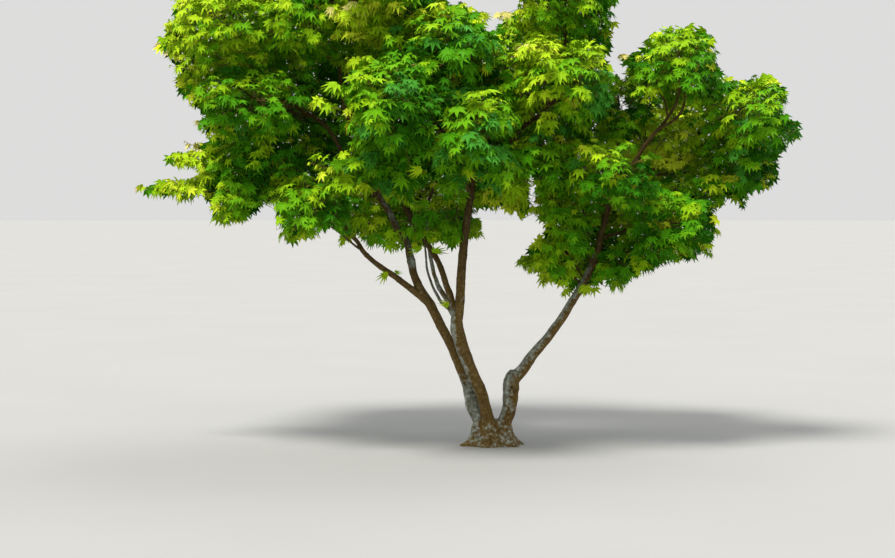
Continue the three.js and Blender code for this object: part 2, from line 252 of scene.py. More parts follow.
BOUGH_MIDDLE_LEFT = [[-107, -14, 368, 11], [-113, -12, 398, 11], [-120, -6, 432, 10.6], [-128, 0, 460, 10.2], [-136, 5, 479, 9.8], [-146, 14, 512, 9.2], [-164, 26, 556, 9], [-185, 41, 590, 8.8], [-210, 53, 627, 8.4], [-235, 64, 663, 7.8], [-253, 73, 693, 7.2], [-265, 80, 717, 6.8]]
BOUGH_PALE = [[-110, -2, 372, 9.6], [-118, 8, 402, 9.4], [-126, 15, 419, 8.8], [-136, 23, 438, 8.2], [-145, 29, 452, 7.8], [-154, 35, 465, 7.4], [-162, 41, 478, 7], [-168, 46, 497, 6.6], [-174, 51, 511, 6.4], [-179, 56, 536, 6.2], [-187, 66, 577, 6], [-194, 80, 616, 5.6], [-197, 100, 670, 5.2], [-196, 124, 737, 5]]
BOUGH_SLENDER = [[-112, 2, 380, 6.6], [-120, 14, 396, 6.6], [-128, 20, 409, 6.4], [-143, 28, 421, 5.8], [-155, 35, 433, 5.2], [-164, 43, 449, 4.9], [-172, 50, 463, 4.7], [-179, 57, 477, 4.5], [-186, 66, 496, 4.3], [-191, 72, 510, 4.2], [-196, 79, 530, 4], [-199, 86, 567, 3.7], [-203, 98, 606, 3.5]]
STEM_RIGHT_FOOT = [[21, -2, 34, 24], [39, -3, 73, 22], [52, -4, 112, 21.5], [56, -4, 145, 23], [57, -3, 179, 24], [62, -2, 203, 22], [71, 0, 217, 18]]
STEM_RIGHT = [[62, -2, 194, 18], [79, 0, 214, 17.8], [97, 1, 234, 16.8], [113, 2, 257, 15.6], [131, 4, 281, 15], [152, 5, 305, 14.6], [172, 7, 329, 14.2], [189, 7, 353, 13.8], [207, 8, 377, 13.2], [223, 8, 401, 12.8], [237, 9, 425, 12.5], [252, 9, 449, 12.2], [273, 10, 485, 11.7], [281, 10, 500, 11.3], [297, 10, 533, 10.8], [321, 6, 593, 9.8]]
STUB = [[58, -3, 168, 17], [51, -4, 187, 15], [45, -5, 202, 11.2]]
ROOT_RINGS = [[0, 2, 2, 92, 70], [10, 2, 2, 82, 60], [24, 1, 2, 73, 51], [42, 0, 2, 66, 44], [60, 0, 2, 62, 40], [72, 1, 2, 55, 34], [79, 1, 2, 38, 22]]
BUTTRESSES = [0.35, 1.5, 2.55, 3.5, 4.5, 5.5]
BUTTRESS_STAND = 0.27

SHOWING = {
    "stem_left": (0, STEM_LEFT),
    "bough_left_upright": (0, BOUGH_LEFT_UPRIGHT),
    "bough_left_low": (0, BOUGH_LEFT_LOW),
    "stem_middle": (1, STEM_MIDDLE),
    "bough_middle_upright": (1, BOUGH_MIDDLE_UPRIGHT),
    "bough_middle_left": (1, BOUGH_MIDDLE_LEFT),
    "bough_pale": (1, BOUGH_PALE),
    "bough_slender": (1, BOUGH_SLENDER),
    "stem_right_foot": (2, STEM_RIGHT_FOOT),
    "stem_right": (2, STEM_RIGHT),
}

# Boughs inside the leaves: stem they come from, radius at each end (mm), and
# points x, y, z (mm). The first point lies in the limb that bears them.
LEFT, MIDDLE, RIGHT = 0, 1, 2
BOUGHS = {
    "left_main": (LEFT, 8.2, 7.8, [[-347, 82, 758], [-375, 90, 789], [-392, 92, 832], [-399, 88, 880]]),
    "left_upper": (LEFT, 7.0, 2.6, [[-399, 88, 880], [-405, 80, 919], [-423, 76, 967], [-441, 72, 1003], [-454, 68, 1039], [-458, 64, 1084], [-458, 60, 1141], [-466, 48, 1219], [-474, 36, 1293], [-479, 20, 1372]]),
    "left_reach": (LEFT, 7.2, 2.4, [[-388, 92, 812], [-429, 70, 822], [-443, 60, 858], [-470, 46, 912], [-497, 30, 954], [-543, 14, 989], [-575, 2, 1004], [-604, -10, 1030], [-627, -20, 1059], [-686, -28, 1106], [-751, -26, 1178], [-806, -16, 1244], [-849, 0, 1300]]),
    "left_middle": (LEFT, 4.2, 1.8, [[-543, 14, 989], [-600, -20, 1000], [-680, -62, 1012], [-760, -84, 1022], [-820, -80, 1030]]),
    "left_low": (LEFT, 5.6, 2.0, [[-403, -54, 615], [-426, -70, 637], [-458, -80, 658], [-511, -80, 696], [-571, -70, 720], [-667, -55, 737], [-772, -45, 737], [-805, -45, 693]]),
    "left_tip": (LEFT, 4.6, 1.5, [[-426, -70, 637], [-440, -62, 662], [-498, -40, 722], [-605, -10, 773], [-726, 10, 797], [-833, 30, 800], [-893, 45, 782]]),
    "left_spray": (LEFT, 3.2, 1.5, [[-605, -10, 773], [-690, 5, 810], [-790, 18, 842], [-880, 22, 862]]),
    "left_back": (LEFT, 6.2, 2.6, [[-328, 80, 727], [-355, 130, 748], [-410, 210, 780], [-500, 310, 820], [-590, 385, 860], [-680, 430, 905]]),
    "left_back_top": (LEFT, 5.4, 2.4, [[-410, 210, 780], [-450, 270, 860], [-520, 360, 980], [-600, 430, 1100], [-660, 470, 1220], [-690, 480, 1290]]),
    "left_inner": (LEFT, 3.6, 1.8, [[-385, -42, 585], [-420, -90, 612], [-470, -140, 655], [-530, -175, 700], [-580, -190, 730]]),
    "leader": (MIDDLE, 8.2, 2.6, [[-60, -42, 790], [-79, -70, 865], [-120, -90, 920], [-156, -100, 944], [-179, -110, 973], [-208, -112, 1046], [-226, -100, 1164], [-238, -80, 1254], [-262, -60, 1358], [-280, -40, 1464]]),
    "centre_right": (MIDDLE, 7.8, 2.4, [[-59, -43, 800], [-37, -56, 832], [16, -70, 868], [45, -90, 897], [71, -104, 927], [109, -116, 964], [153, -124, 999], [176, -128, 1031], [198, -100, 1114], [214, -60, 1211], [220, 0, 1380]]),
    "centre_middle": (MIDDLE, 3.8, 1.8, [[109, -116, 964], [160, -150, 1010], [200, -180, 1060], [240, -180, 1110]]),
    "middle_forward": (MIDDLE, 6.0, 2.4, [[-64, -39, 755], [-88, -110, 800], [-125, -200, 850], [-180, -290, 905], [-240, -370, 960], [-290, -420, 1010]]),
    "middle_low": (MIDDLE, 3.8, 1.8, [[-125, -200, 850], [-115, -270, 870], [-95, -340, 895], [-70, -400, 915]]),
    "middle_skirt": (MIDDLE, 3.8, 1.4, [[-125, -200, 850], [-190, -240, 838], [-270, -262, 824], [-350, -262, 815], [-422, -250, 819], [-487, -240, 834], [-530, -240, 842]]),
    "middle_shoulder": (MIDDLE, 5.0, 2.2, [[-120, -90, 920], [-125, -140, 990], [-135, -200, 1060], [-145, -260, 1130], [-150, -300, 1200]]),
    "middle_back": (MIDDLE, 6.4, 2.4, [[-236, 65, 665], [-258, 140, 730], [-262, 240, 820], [-256, 350, 910], [-248, 450, 1000], [-242, 510, 1100], [-248, 520, 1220], [-255, 515, 1340], [-258, 510, 1430]]),
    "centre_back": (MIDDLE, 5.2, 2.2, [[-196, 124, 725], [-160, 190, 800], [-80, 280, 880], [20, 360, 960], [110, 420, 1040], [160, 450, 1130], [180, 460, 1210]]),
    "middle_behind": (MIDDLE, 3.4, 1.6, [[-203, 98, 600], [-195, 150, 640], [-170, 220, 672], [-130, 290, 700], [-100, 340, 720]]),
    "middle_under": (MIDDLE, 3.4, 1.6, [[-219, 57, 640], [-250, 120, 650], [-300, 180, 668], [-350, 230, 690], [-410, 260, 700]]),
    "centre_low": (MIDDLE, 4.6, 1.8, [[-59, -43, 800], [-30, -50, 830], [20, -62, 846], [80, -70, 856], [140, -75, 850], [200, -70, 830]]),
    "right_main": (RIGHT, 9.8, 8.8, [[295, 10, 533], [321, 6, 593], [334, 0, 647], [341, -4, 701], [360, 0, 755]]),
    "right_upper": (RIGHT, 8.8, 2.4, [[352, -2, 735], [360, 0, 755], [388, -16, 794], [416, -34, 833], [442, -50, 873], [464, -62, 912], [484, -70, 942], [501, -72, 962], [519, -72, 992], [537, -70, 1021], [546, -68, 1051], [556, -60, 1110], [562, -50, 1170]]),
    "right_fork": (RIGHT, 5.4, 2.0, [[464, -62, 912], [475, -68, 930], [498, -78, 949], [525, -86, 963], [547, -92, 987], [559, -96, 1017], [563, -98, 1050], [575, -110, 1100], [600, -120, 1140]]),
    "right_outer": (RIGHT, 6.6, 2.2, [[341, -4, 701], [385, 22, 764], [438, 78, 812], [528, 108, 850], [609, 96, 886], [689, 66, 926], [767, 30, 952], [839, 10, 959]]),
    "right_outer_low": (RIGHT, 4.2, 1.8, [[438, 78, 812], [521, 112, 818], [629, 116, 822], [736, 92, 822], [800, 70, 812]]),
    "right_low": (RIGHT, 4.2, 1.8, [[330, 2, 623], [360, 2, 635], [402, 4, 647], [475, 8, 659], [541, 10, 671], [600, 10, 671]]),
    "right_skirt": (RIGHT, 3.6, 1.6, [[278, 10, 497], [256, 12, 533], [243, 14, 554], [205, 18, 600], [180, 22, 650], [160, 24, 690]]),
    "right_under": (RIGHT, 3.0, 1.5, [[269, 10, 483], [240, 15, 512], [205, 20, 535], [165, 25, 552], [135, 25, 560]]),
    "right_inner_up": (RIGHT, 3.6, 1.8, [[298, 8, 540], [291, 0, 587], [284, -10, 633], [278, -16, 672], [274, -20, 722]]),
    "right_back": (RIGHT, 5.8, 2.4, [[341, -4, 701], [367, 60, 737], [402, 150, 780], [443, 280, 830], [479, 400, 879], [497, 470, 929]]),
    "right_inner": (RIGHT, 4.0, 1.8, [[402, 150, 780], [440, 200, 840], [490, 250, 900], [540, 280, 960], [570, 290, 1000]]),
    "right_front": (RIGHT, 4.6, 2.0, [[336, -2, 671], [337, -60, 708], [332, -130, 743], [332, -210, 778], [338, -280, 812]]),
    "right_link": (RIGHT, 4.2, 1.8, [[388, -16, 794], [384, 50, 860], [386, 110, 940], [388, 150, 1030], [380, 150, 1080]]),
    "right_bottom": (RIGHT, 3.0, 1.5, [[295, 10, 533], [330, 25, 542], [370, 45, 545], [420, 60, 550]]),
}

# The stem that feeds each mass of leaves, how yellow its leaves are (0 to 1) and
# how bright (0 to 1). Both also paint light: the lit tops, and masses in the shade of others, where light comes
# through, are made yellower and brighter.
MASSES = {
    "leaves_left_top": (LEFT, 0.58, 0.85),
    "leaves_left_crest": (LEFT, 0.58, 0.71),
    "leaves_left_middle": (LEFT, 0.46, 0.51),
    "leaves_left_tier": (LEFT, 0.60, 0.52),
    "leaves_left_tip": (LEFT, 0.95, 0.85),
    "leaves_left_spray": (LEFT, 0.90, 0.80),
    "leaves_left_hanging": (LEFT, 0.56, 0.52),
    "leaves_left_inner": (LEFT, 0.50, 0.53),
    "leaves_left_back": (LEFT, 0.50, 0.50),
    "leaves_left_back_top": (LEFT, 0.55, 0.60),
    "leaves_middle_top": (MIDDLE, 0.57, 1.06),
    "leaves_middle_shoulder": (MIDDLE, 0.42, 0.53),
    "leaves_middle_front": (MIDDLE, 0.31, 0.54),
    "leaves_middle_low": (MIDDLE, 0.36, 0.67),
    "leaves_middle_skirt": (MIDDLE, 0.46, 0.54),
    "leaves_middle_under": (MIDDLE, 0.55, 0.86),
    "leaves_middle_behind": (MIDDLE, 0.58, 0.90),
    "leaves_middle_back": (MIDDLE, 0.50, 0.50),
    "leaves_middle_back_top": (MIDDLE, 0.55, 0.60),
    "leaves_centre_top": (MIDDLE, 0.57, 0.72),
    "leaves_centre_middle": (MIDDLE, 0.48, 0.86),
    "leaves_centre_low": (MIDDLE, 0.55, 0.68),
    "leaves_centre_back": (MIDDLE, 0.50, 0.55),
    "leaves_right_link": (RIGHT, 0.52, 0.52),
    "leaves_right_top": (RIGHT, 0.50, 0.56),
    "leaves_right_outer": (RIGHT, 0.46, 0.60),
    "leaves_right_outer_low": (RIGHT, 0.50, 0.50),
    "leaves_right_inner": (RIGHT, 0.75, 0.86),
    "leaves_right_front": (RIGHT, 0.48, 0.50),
    "leaves_right_low": (RIGHT, 0.44, 0.49),
    "leaves_right_skirt": (RIGHT, 0.59, 0.81),
    "leaves_right_under": (RIGHT, 0.64, 0.66),
    "leaves_right_bottom": (RIGHT, 0.55, 0.55),
    "leaves_right_back": (RIGHT, 0.52, 0.55),
}
MASS_NAMES = list(MASSES)

# ---------------------------------------------------------------- the room that leaves fill
CELL = 0.02
grid_lo = cad_lo - 0.12
grid_n = np.ceil((cad_hi + 0.12 - grid_lo) / CELL).astype(int)
filled = np.zeros(grid_n, bool)
owner = np.full(grid_n, -1, np.int16)
middles = []
for number, name in enumerate(MASS_NAMES):
    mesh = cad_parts[name].data
    co = np.array([v.co for v in mesh.vertices])
    middles.append((co.min(0) + co.max(0)) / 2)
    tree = BVHTree.FromPolygons([Vector(c) for c in co], [tuple(p.vertices) for p in mesh.polygons])
    a = np.maximum(((co.min(0) - grid_lo) / CELL).astype(int) - 1, 0)
    b = np.minimum(((co.max(0) - grid_lo) / CELL).astype(int) + 2, grid_n)
    for ix in range(a[0], b[0]):
        for iy in range(a[1], b[1]):
            x, y = grid_lo[0] + (ix + 0.5) * CELL, grid_lo[1] + (iy + 0.5) * CELL
            hits, z = [], co[:, 2].min() - 0.01
            while len(hits) < 12:
                where = tree.ray_cast(Vector((x + 1.1e-5, y + 0.7e-5, z)), Vector((0, 0, 1)))[0]
                if where is None:
                    break
                hits.append(where.z)
                z = where.z + 1e-5
            for s, e in zip(hits[0::2], hits[1::2]):
                i0 = int(math.ceil((s - grid_lo[2]) / CELL - 0.5))
                i1 = int(math.floor((e - grid_lo[2]) / CELL - 0.5))
                if i1 >= i0:
                    filled[ix, iy, i0 : i1 + 1] = True
                    owner[ix, iy, i0 : i1 + 1] = number
middles = np.array(middles)


def grown(mask, corners=False):
    out = mask.copy()
    for axis in range(3):
        src = out if corners else mask
        s = src.copy()
        s |= np.roll(src, 1, axis)
        s |= np.roll(src, -1, axis)
        out = s if corners else (out | s)
    return out


closed = ~grown(~grown(filled), False)
closed |= filled
depth = np.zeros(grid_n, np.int16)
left_over = closed.copy()
turn = 0
while left_over.any() and turn < 14:
    depth[left_over] += 1
    left_over = ~grown(~left_over, corners=(turn % 2 == 1))
    turn += 1

soft = closed.astype(float)
for _ in range(3):
    for axis in range(3):
        soft = (soft + np.roll(soft, 1, axis) + np.roll(soft, -1, axis)) / 3
slope = np.stack(np.gradient(soft), -1)
wide = closed.astype(float)
for _ in range(9):
    for axis in range(3):
        wide = (wide + np.roll(wide, 1, axis) + np.roll(wide, -1, axis)) / 3
wide_slope = np.stack(np.gradient(wide), -1)


def cell_of(points):
    return tuple(np.clip(((points - grid_lo) / CELL).astype(int), 0, grid_n - 1).T)


def outward(points):
    """Direction from the inside of the leaves to the open air."""
    c = cell_of(points)
    return unit(-(slope[c] * 0.8 + wide_slope[c] * 1.6) + 1e-9)


near_leaves = grown(grown(closed))


# Where limbs show through the leaves: pixels along the limb, how many pixels are
# kept clear to each side, and the depth of the limb. Nothing hides it there.
WINDOWS = [
    ([(286, 104), (301, 112), (315, 120), (329, 129)], 4.5, 0.03),
    ([(248, 93), (263, 101)], 3.0, 0.00),
    ([(340, 72), (339, 84)], 3.0, 0.06),
    ([(340, 101), (345, 112), (350, 120)], 4.5, 0.07),
    ([(434, 123), (441, 133)], 3.5, -0.11),
    ([(514, 141), (527, 128)], 4.5, -0.11),
    ([(534, 119), (547, 106)], 4.0, -0.12),
    ([(565, 48), (567, 35)], 3.0, -0.03),
    ([(635, 161), (652, 139), (662, 127), (672, 118), (681, 106)], 6.0, -0.05),
    ([(662, 127), (667, 113), (674, 104), (674, 94)], 5.0, -0.07),
    ([(600, 244), (605, 224), (609, 210)], 6.5, 0.00),
    ([(608, 237), (627, 226)], 3.5, 0.01),
    ([(571, 300), (584, 276), (589, 265)], 7.0, 0.01),
    ([(376, 194), (385, 206), (391, 217), (396, 229)], 5.5, 0.08),
    ([(403, 237), (409, 246), (411, 257)], 4.5, 0.05),
    ([(402, 206), (411, 219)], 4.0, 0.06),
    ([(423, 195), (425, 202)], 2.8, 0.12),
    ([(428, 198), (433, 193)], 2.8, 0.13),
    ([(472, 183), (469, 200), (467, 222)], 7.0, -0.03),
]
# Where the open air shows: pixels along it and how many to each side.
OPENINGS = [
    ([(495, -4), (492, 12), (490, 24)], 5.0),
    ([(620, 98), (624, 107)], 2.5),
    ([(531, 182), (532, 204)], 3.5),
    ([(516, 226), (520, 240)], 9.0),
    ([(617, 66), (622, 76)], 4.0),
]


def span_from(points, line):
    """How far pixels are from a line of pixels."""
    best = np.full(len(points), 1e9)
    line = np.array(line, float)
    for a, b in zip(line[:-1], line[1:]):
        d = b - a
        t = np.clip(((points - a) @ d) / (d @ d), 0, 1)
        best = np.minimum(best, np.linalg.norm(points - (a + t[:, None] * d), axis=1))
    return best


# The crown's outline as the camera sees it, in pixels, down its left side, along
# its lower edge and up its right side. Above the picture it is the masses' own.
OUTLINE = [
    (150, -12), (170, 3), (169, 16), (172, 22), (164, 26), (162, 34), (160, 39), (157, 44), (148, 52), (149, 58), (163, 57),
    (164, 63), (172, 66), (178, 72), (173, 78), (173, 91), (181, 98), (190, 105), (197, 109), (202, 118), (191, 127),
    (190, 131), (196, 134), (212, 138), (204, 140), (174, 141), (174, 152), (198, 151), (198, 154), (166, 154), (158, 164),
    (160, 173), (190, 173), (192, 177), (177, 180), (150, 184), (125, 187), (125, 197), (146, 198), (163, 203), (190, 199),
    (203, 199), (207, 210), (214, 222), (222, 232), (232, 223), (238, 234), (243, 222), (254, 220), (262, 208), (272, 207),
    (277, 222), (282, 236), (291, 252), (303, 242), (320, 239), (332, 232), (340, 238), (346, 247), (352, 240), (358, 236),
    (366, 246), (374, 249), (381, 245), (388, 252), (397, 245), (406, 257), (419, 250), (433, 250), (451, 254), (458, 246),
    (468, 248), (474, 250), (478, 243), (484, 236), (486, 226), (477, 221), (473, 217), (474, 212), (496, 216), (509, 218),
    (522, 220), (531, 217), (537, 220), (541, 227), (545, 233), (533, 240),
    (525, 253), (515, 262), (519, 273), (540, 278), (536, 291), (559, 289), (565, 296), (577, 292), (581, 301), (594, 291),
    (610, 287), (624, 287), (634, 293), (638, 277), (653, 274), (667, 266), (682, 264), (699, 265), (704, 256), (719, 260),
    (711, 244), (721, 234), (716, 214), (721, 206), (735, 200), (743, 211), (750, 195), (764, 195), (780, 182), (781, 176),
    (778, 163), (784, 154), (798, 146), (805, 133), (789, 120), (784, 110), (789, 98), (786, 87), (778, 79), (767, 74),
    (747, 78), (731, 76), (721, 75), (723, 64), (715, 57), (724, 50), (716, 42), (716, 35), (704, 28), (690, 25), (661, 28),
    (643, 41), (640, 50), (632, 53), (624, 51), (615, 54), (619, 61), (621, 69), (617, 74), (611, 76), (615, 70), (608, 63),
    (614, 50), (613, 41), (614, 33), (621, 25), (612, 14), (614, 9), (620, 3), (622, -12), (519, -12), (519, 0), (518, 9),
    (503, 11), (501, 20), (493, 26), (487, 26), (484, 14), (475, 14), (466, 9), (452, 7), (446, 0), (446, -12),
]
WIDE, HIGH, LIFT = 950, 1250, 300  # a map of pixels, LIFT rows of it above the picture


def outline_map():
    inside = np.zeros((HIGH, WIDE), bool)
    for (u0, v0), (u1, v1) in zip(OUTLINE, OUTLINE[1:] + OUTLINE[:1]):
        for v in range(min(v0, v1), max(v0, v1)):
            u = u0 + (u1 - u0) * (v + 0.5 - v0) / (v1 - v0)
            inside[v + LIFT, max(int(round(u)), 0) :] ^= True
    inside[: LIFT - 5] = True
    return inside


IN_OUTLINE = outline_map()



def swelled(mask, r):
    for k in range(r):
        m = mask.copy()
        m[1:] |= mask[:-1]
        m[:-1] |= mask[1:]
        m[:, 1:] |= mask[:, :-1]
        m[:, :-1] |= mask[:, 1:]
        mask = m
    return mask


INNER = ~swelled(~IN_OUTLINE, 5)
AIR = ~IN_OUTLINE
for line, width in OPENINGS:
    line_u, line_v = [q[0] for q in line], [q[1] for q in line]
    vv, uu = np.mgrid[max(min(line_v) - 12, -LIFT) : max(line_v) + 12, min(line_u) - 12 : max(line_u) + 12]
    spots = np.stack([uu.ravel(), vv.ravel()], 1).astype(float)
    shut = span_from(spots, line) < width
    AIR[vv.ravel()[shut] + LIFT, uu.ravel()[shut]] = True


def looked_up(chart, px):
    u = np.clip(px[..., 0].astype(int), 0, WIDE - 1)
    v = np.clip(np.floor(px[..., 1]).astype(int) + LIFT, 0, HIGH - 1)
    return chart[v, u]


# ---------------------------------------------------------------- the skeleton
MOST = 90000
pos = np.zeros((MOST, 3))
way = np.zeros((MOST, 3))
par = np.full(MOST, -1)
fam = np.zeros(MOST, np.int8)
can_bear = np.zeros(MOST, bool)
run = np.zeros(MOST)
fixed_r = np.full(MOST, np.nan)
used = 0
limbs = []  # (kind, family, [node numbers]); the first node belongs to the limb that bears it


def add_nodes(points, family, parent, bear, radii=None):
    global used
    n = len(points)
    s = slice(used, used + n)
    pos[s] = points
    tangent = unit(np.gradient(np.vstack([pos[parent][None] if parent >= 0 else points[:1] - (points[1:2] - points[:1]), points]), axis=0))[1:]
    way[s] = tangent
    par[used] = parent
    par[used + 1 : used + n] = np.arange(used, used + n - 1)
    fam[s] = family
    can_bear[s] = bear
    steps = np.linalg.norm(np.diff(points, axis=0), axis=1)
    start = run[parent] + np.linalg.norm(points[0] - pos[parent]) if parent >= 0 else 0.0
    run[s] = start + np.concatenate([[0], np.cumsum(steps)])
    if radii is not None:
        fixed_r[s] = radii
    made = list(range(used, used + n))
    used += n
    return made


def nearest_node(point, family):
    ok = np.nonzero((fam[:used] == family))[0]
    if len(ok) == 0:
        return -1
    return int(ok[np.argmin(np.linalg.norm(pos[ok] - point, axis=1))])


for name, (family, rows) in SHOWING.items():
    p, r = smooth_path(np.array(rows, float) / 1000.0, 0.012)
    parent = nearest_node(p[0], family)
    inside = near_leaves[cell_of(p)]
    limbs.append(("showing", family, add_nodes(p, family, parent, inside, r), name))

for name, (family, r0, r1, points) in BOUGHS.items():
    rows = np.array([[*q, 0] for q in points], float) / 1000.0
    d = np.concatenate([[0], np.cumsum(np.linalg.norm(np.diff(rows[:, :3], axis=0), axis=1))])
    rows[:, 3] = (r0 + (r1 - r0) * (d / d[-1]) ** 0.85) / 1000.0
    p, r = smooth_path(rows, 0.02)
    # slow wander, none at the start
    w = np.clip(np.linspace(0, 1, len(p)) * 3, 0, 1)[:, None]
    p = p + w * 0.004 * np.stack([np.sin(np.linspace(0, 9, len(p)) + k * 2 + len(limbs)) for k in range(3)], 1)
    parent = nearest_node(p[0], family)
    limbs.append(("bough", family, add_nodes(p, family, parent, True, r), name))


def grow_to(target, family, end_way, kind, step, bend=0.9, wander=0.03, anywhere=False):
    ok = np.nonzero((fam[:used] == family) & (can_bear[:used] | anywhere))[0]
    d = target - pos[ok]
    dist = np.linalg.norm(d, axis=1) + 1e-9
    cos = np.einsum("ij,ij->i", d, way[ok]) / dist
    cost = dist * (1 + 0.55 * (1 - cos)) + 0.16 * run[ok] + (dist < 0.012) * 0.05
    if anywhere:
        cost = dist
    # not across the open air, as the camera sees it
    best = np.argsort(cost)[:10]
    steps = np.array([0.2, 0.4, 0.6, 0.8])[None, :, None]
    on_way = pos[ok[best]][:, None] * (1 - steps) + target * steps
    q = int(ok[best[np.argmin(cost[best] + 0.4 * looked_up(AIR, pixel_of(on_way)).mean(1))]])
    p0, d0 = pos[q], target - pos[q]
    length = float(np.linalg.norm(d0))
    if length < 0.004:
        return q, None
    aim = unit(d0)
    start_way = unit(0.55 * way[q] + aim + 0.12 * UP)
    m0, m1 = start_way * length * bend, unit(end_way + 0.8 * aim) * length * bend
    count = max(3, int(math.ceil(length / step)) + 1)
    pts = hermite(p0, m0, target, m1, count)
    t = np.linspace(0, 1, count)
    hump = np.sin(math.pi * t)[:, None]
    side = rng.normal(size=3)
    side2 = rng.normal(size=3)
    pts = pts + hump * (side * np.sin(t * 5 + rng.random() * 6)[:, None] + side2 * np.cos(t * 9)[:, None] * 0.5) * wander * length * 0.6
    made = add_nodes(pts[1:], family, q, True)
    limbs.append((kind, family, [q] + made, None))
    return q, made


def scattered(count, least, gap, tries, keep=None, tiers=False):
    """Seeded points in the leaves, at least gap(depth) apart."""
    cells = np.argwhere(depth >= least)
    pick = rng.integers(0, len(cells), tries)
    points = grid_lo + (cells[pick] + rng.random((tries, 3))) * CELL
    deep = depth[cell_of(points)]
    if tiers:
        n = np.array([mnoise.noise(Vector((p[0] * 2.3, p[1] * 2.3, p[2] * 0.8 + 5.0))) for p in points])
        phase = ((points[:, 2] + 0.035 * n) / 0.082) % 1.0
        ok = (np.abs(phase - 0.5) < 0.27) | (rng.random(tries) < 0.22)
        points, deep = points[ok], deep[ok]
    if keep is not None:
        ok = keep(points, deep)
        points, deep = points[ok], deep[ok]
    out, gaps = np.zeros((count, 3)), np.zeros(count)
    n = 0
    for p, dd in zip(points, deep):
        g = gap(dd)
        if n:
            q = out[:n] - p
            q[:, 2] *= 1.25
            if (np.einsum("ij,ij->i", q, q) < (np.minimum(g, gaps[:n])) ** 2).any():
                continue
        out[n], gaps[n] = p, g
        n += 1
        if n == count:
            break
    return out[:n]


def family_of(points):
    c = cell_of(points)
    own = owner[c].copy()
    lost = own < 0
    if lost.any():
        d = np.linalg.norm(points[lost][:, None] - middles[None], axis=2)
        own[lost] = d.argmin(1)
    return own, np.array([MASSES[MASS_NAMES[k]][0] for k in own])


def grow_all(points, kind, step, ends, wander, record=None):
    own, family = family_of(points)
    seen = pos[:used][can_bear[:used]]
    far = np.array([np.linalg.norm(seen - p, axis=1).min() for p in points])
    for i in np.argsort(far):
        q, made = grow_to(points[i], int(family[i]), ends[i], kind, step, wander=wander)
        if record is not None:
            record[i] = (q, made)


# branches, then leafy sprays
branch_ends = scattered(900, 2, lambda d: 0.105 if d <= 3 else 0.15, 9000)
out_dir = outward(branch_ends)
grow_all(branch_ends, "branch", 0.022, unit(out_dir + 0.25 * UP + rng.normal(size=out_dir.shape) * 0.25), 0.06)

thin = np.array([MASS_NAMES.index(n) for n in ("leaves_left_tip", "leaves_left_spray")])
spray_at = scattered(3900, 2, lambda d: 0.0435 if d <= 3 else (0.058 if d <= 5 else 0.095), 120000, keep=lambda p, d: ~np.isin(owner[cell_of(p)], thin), tiers=True)

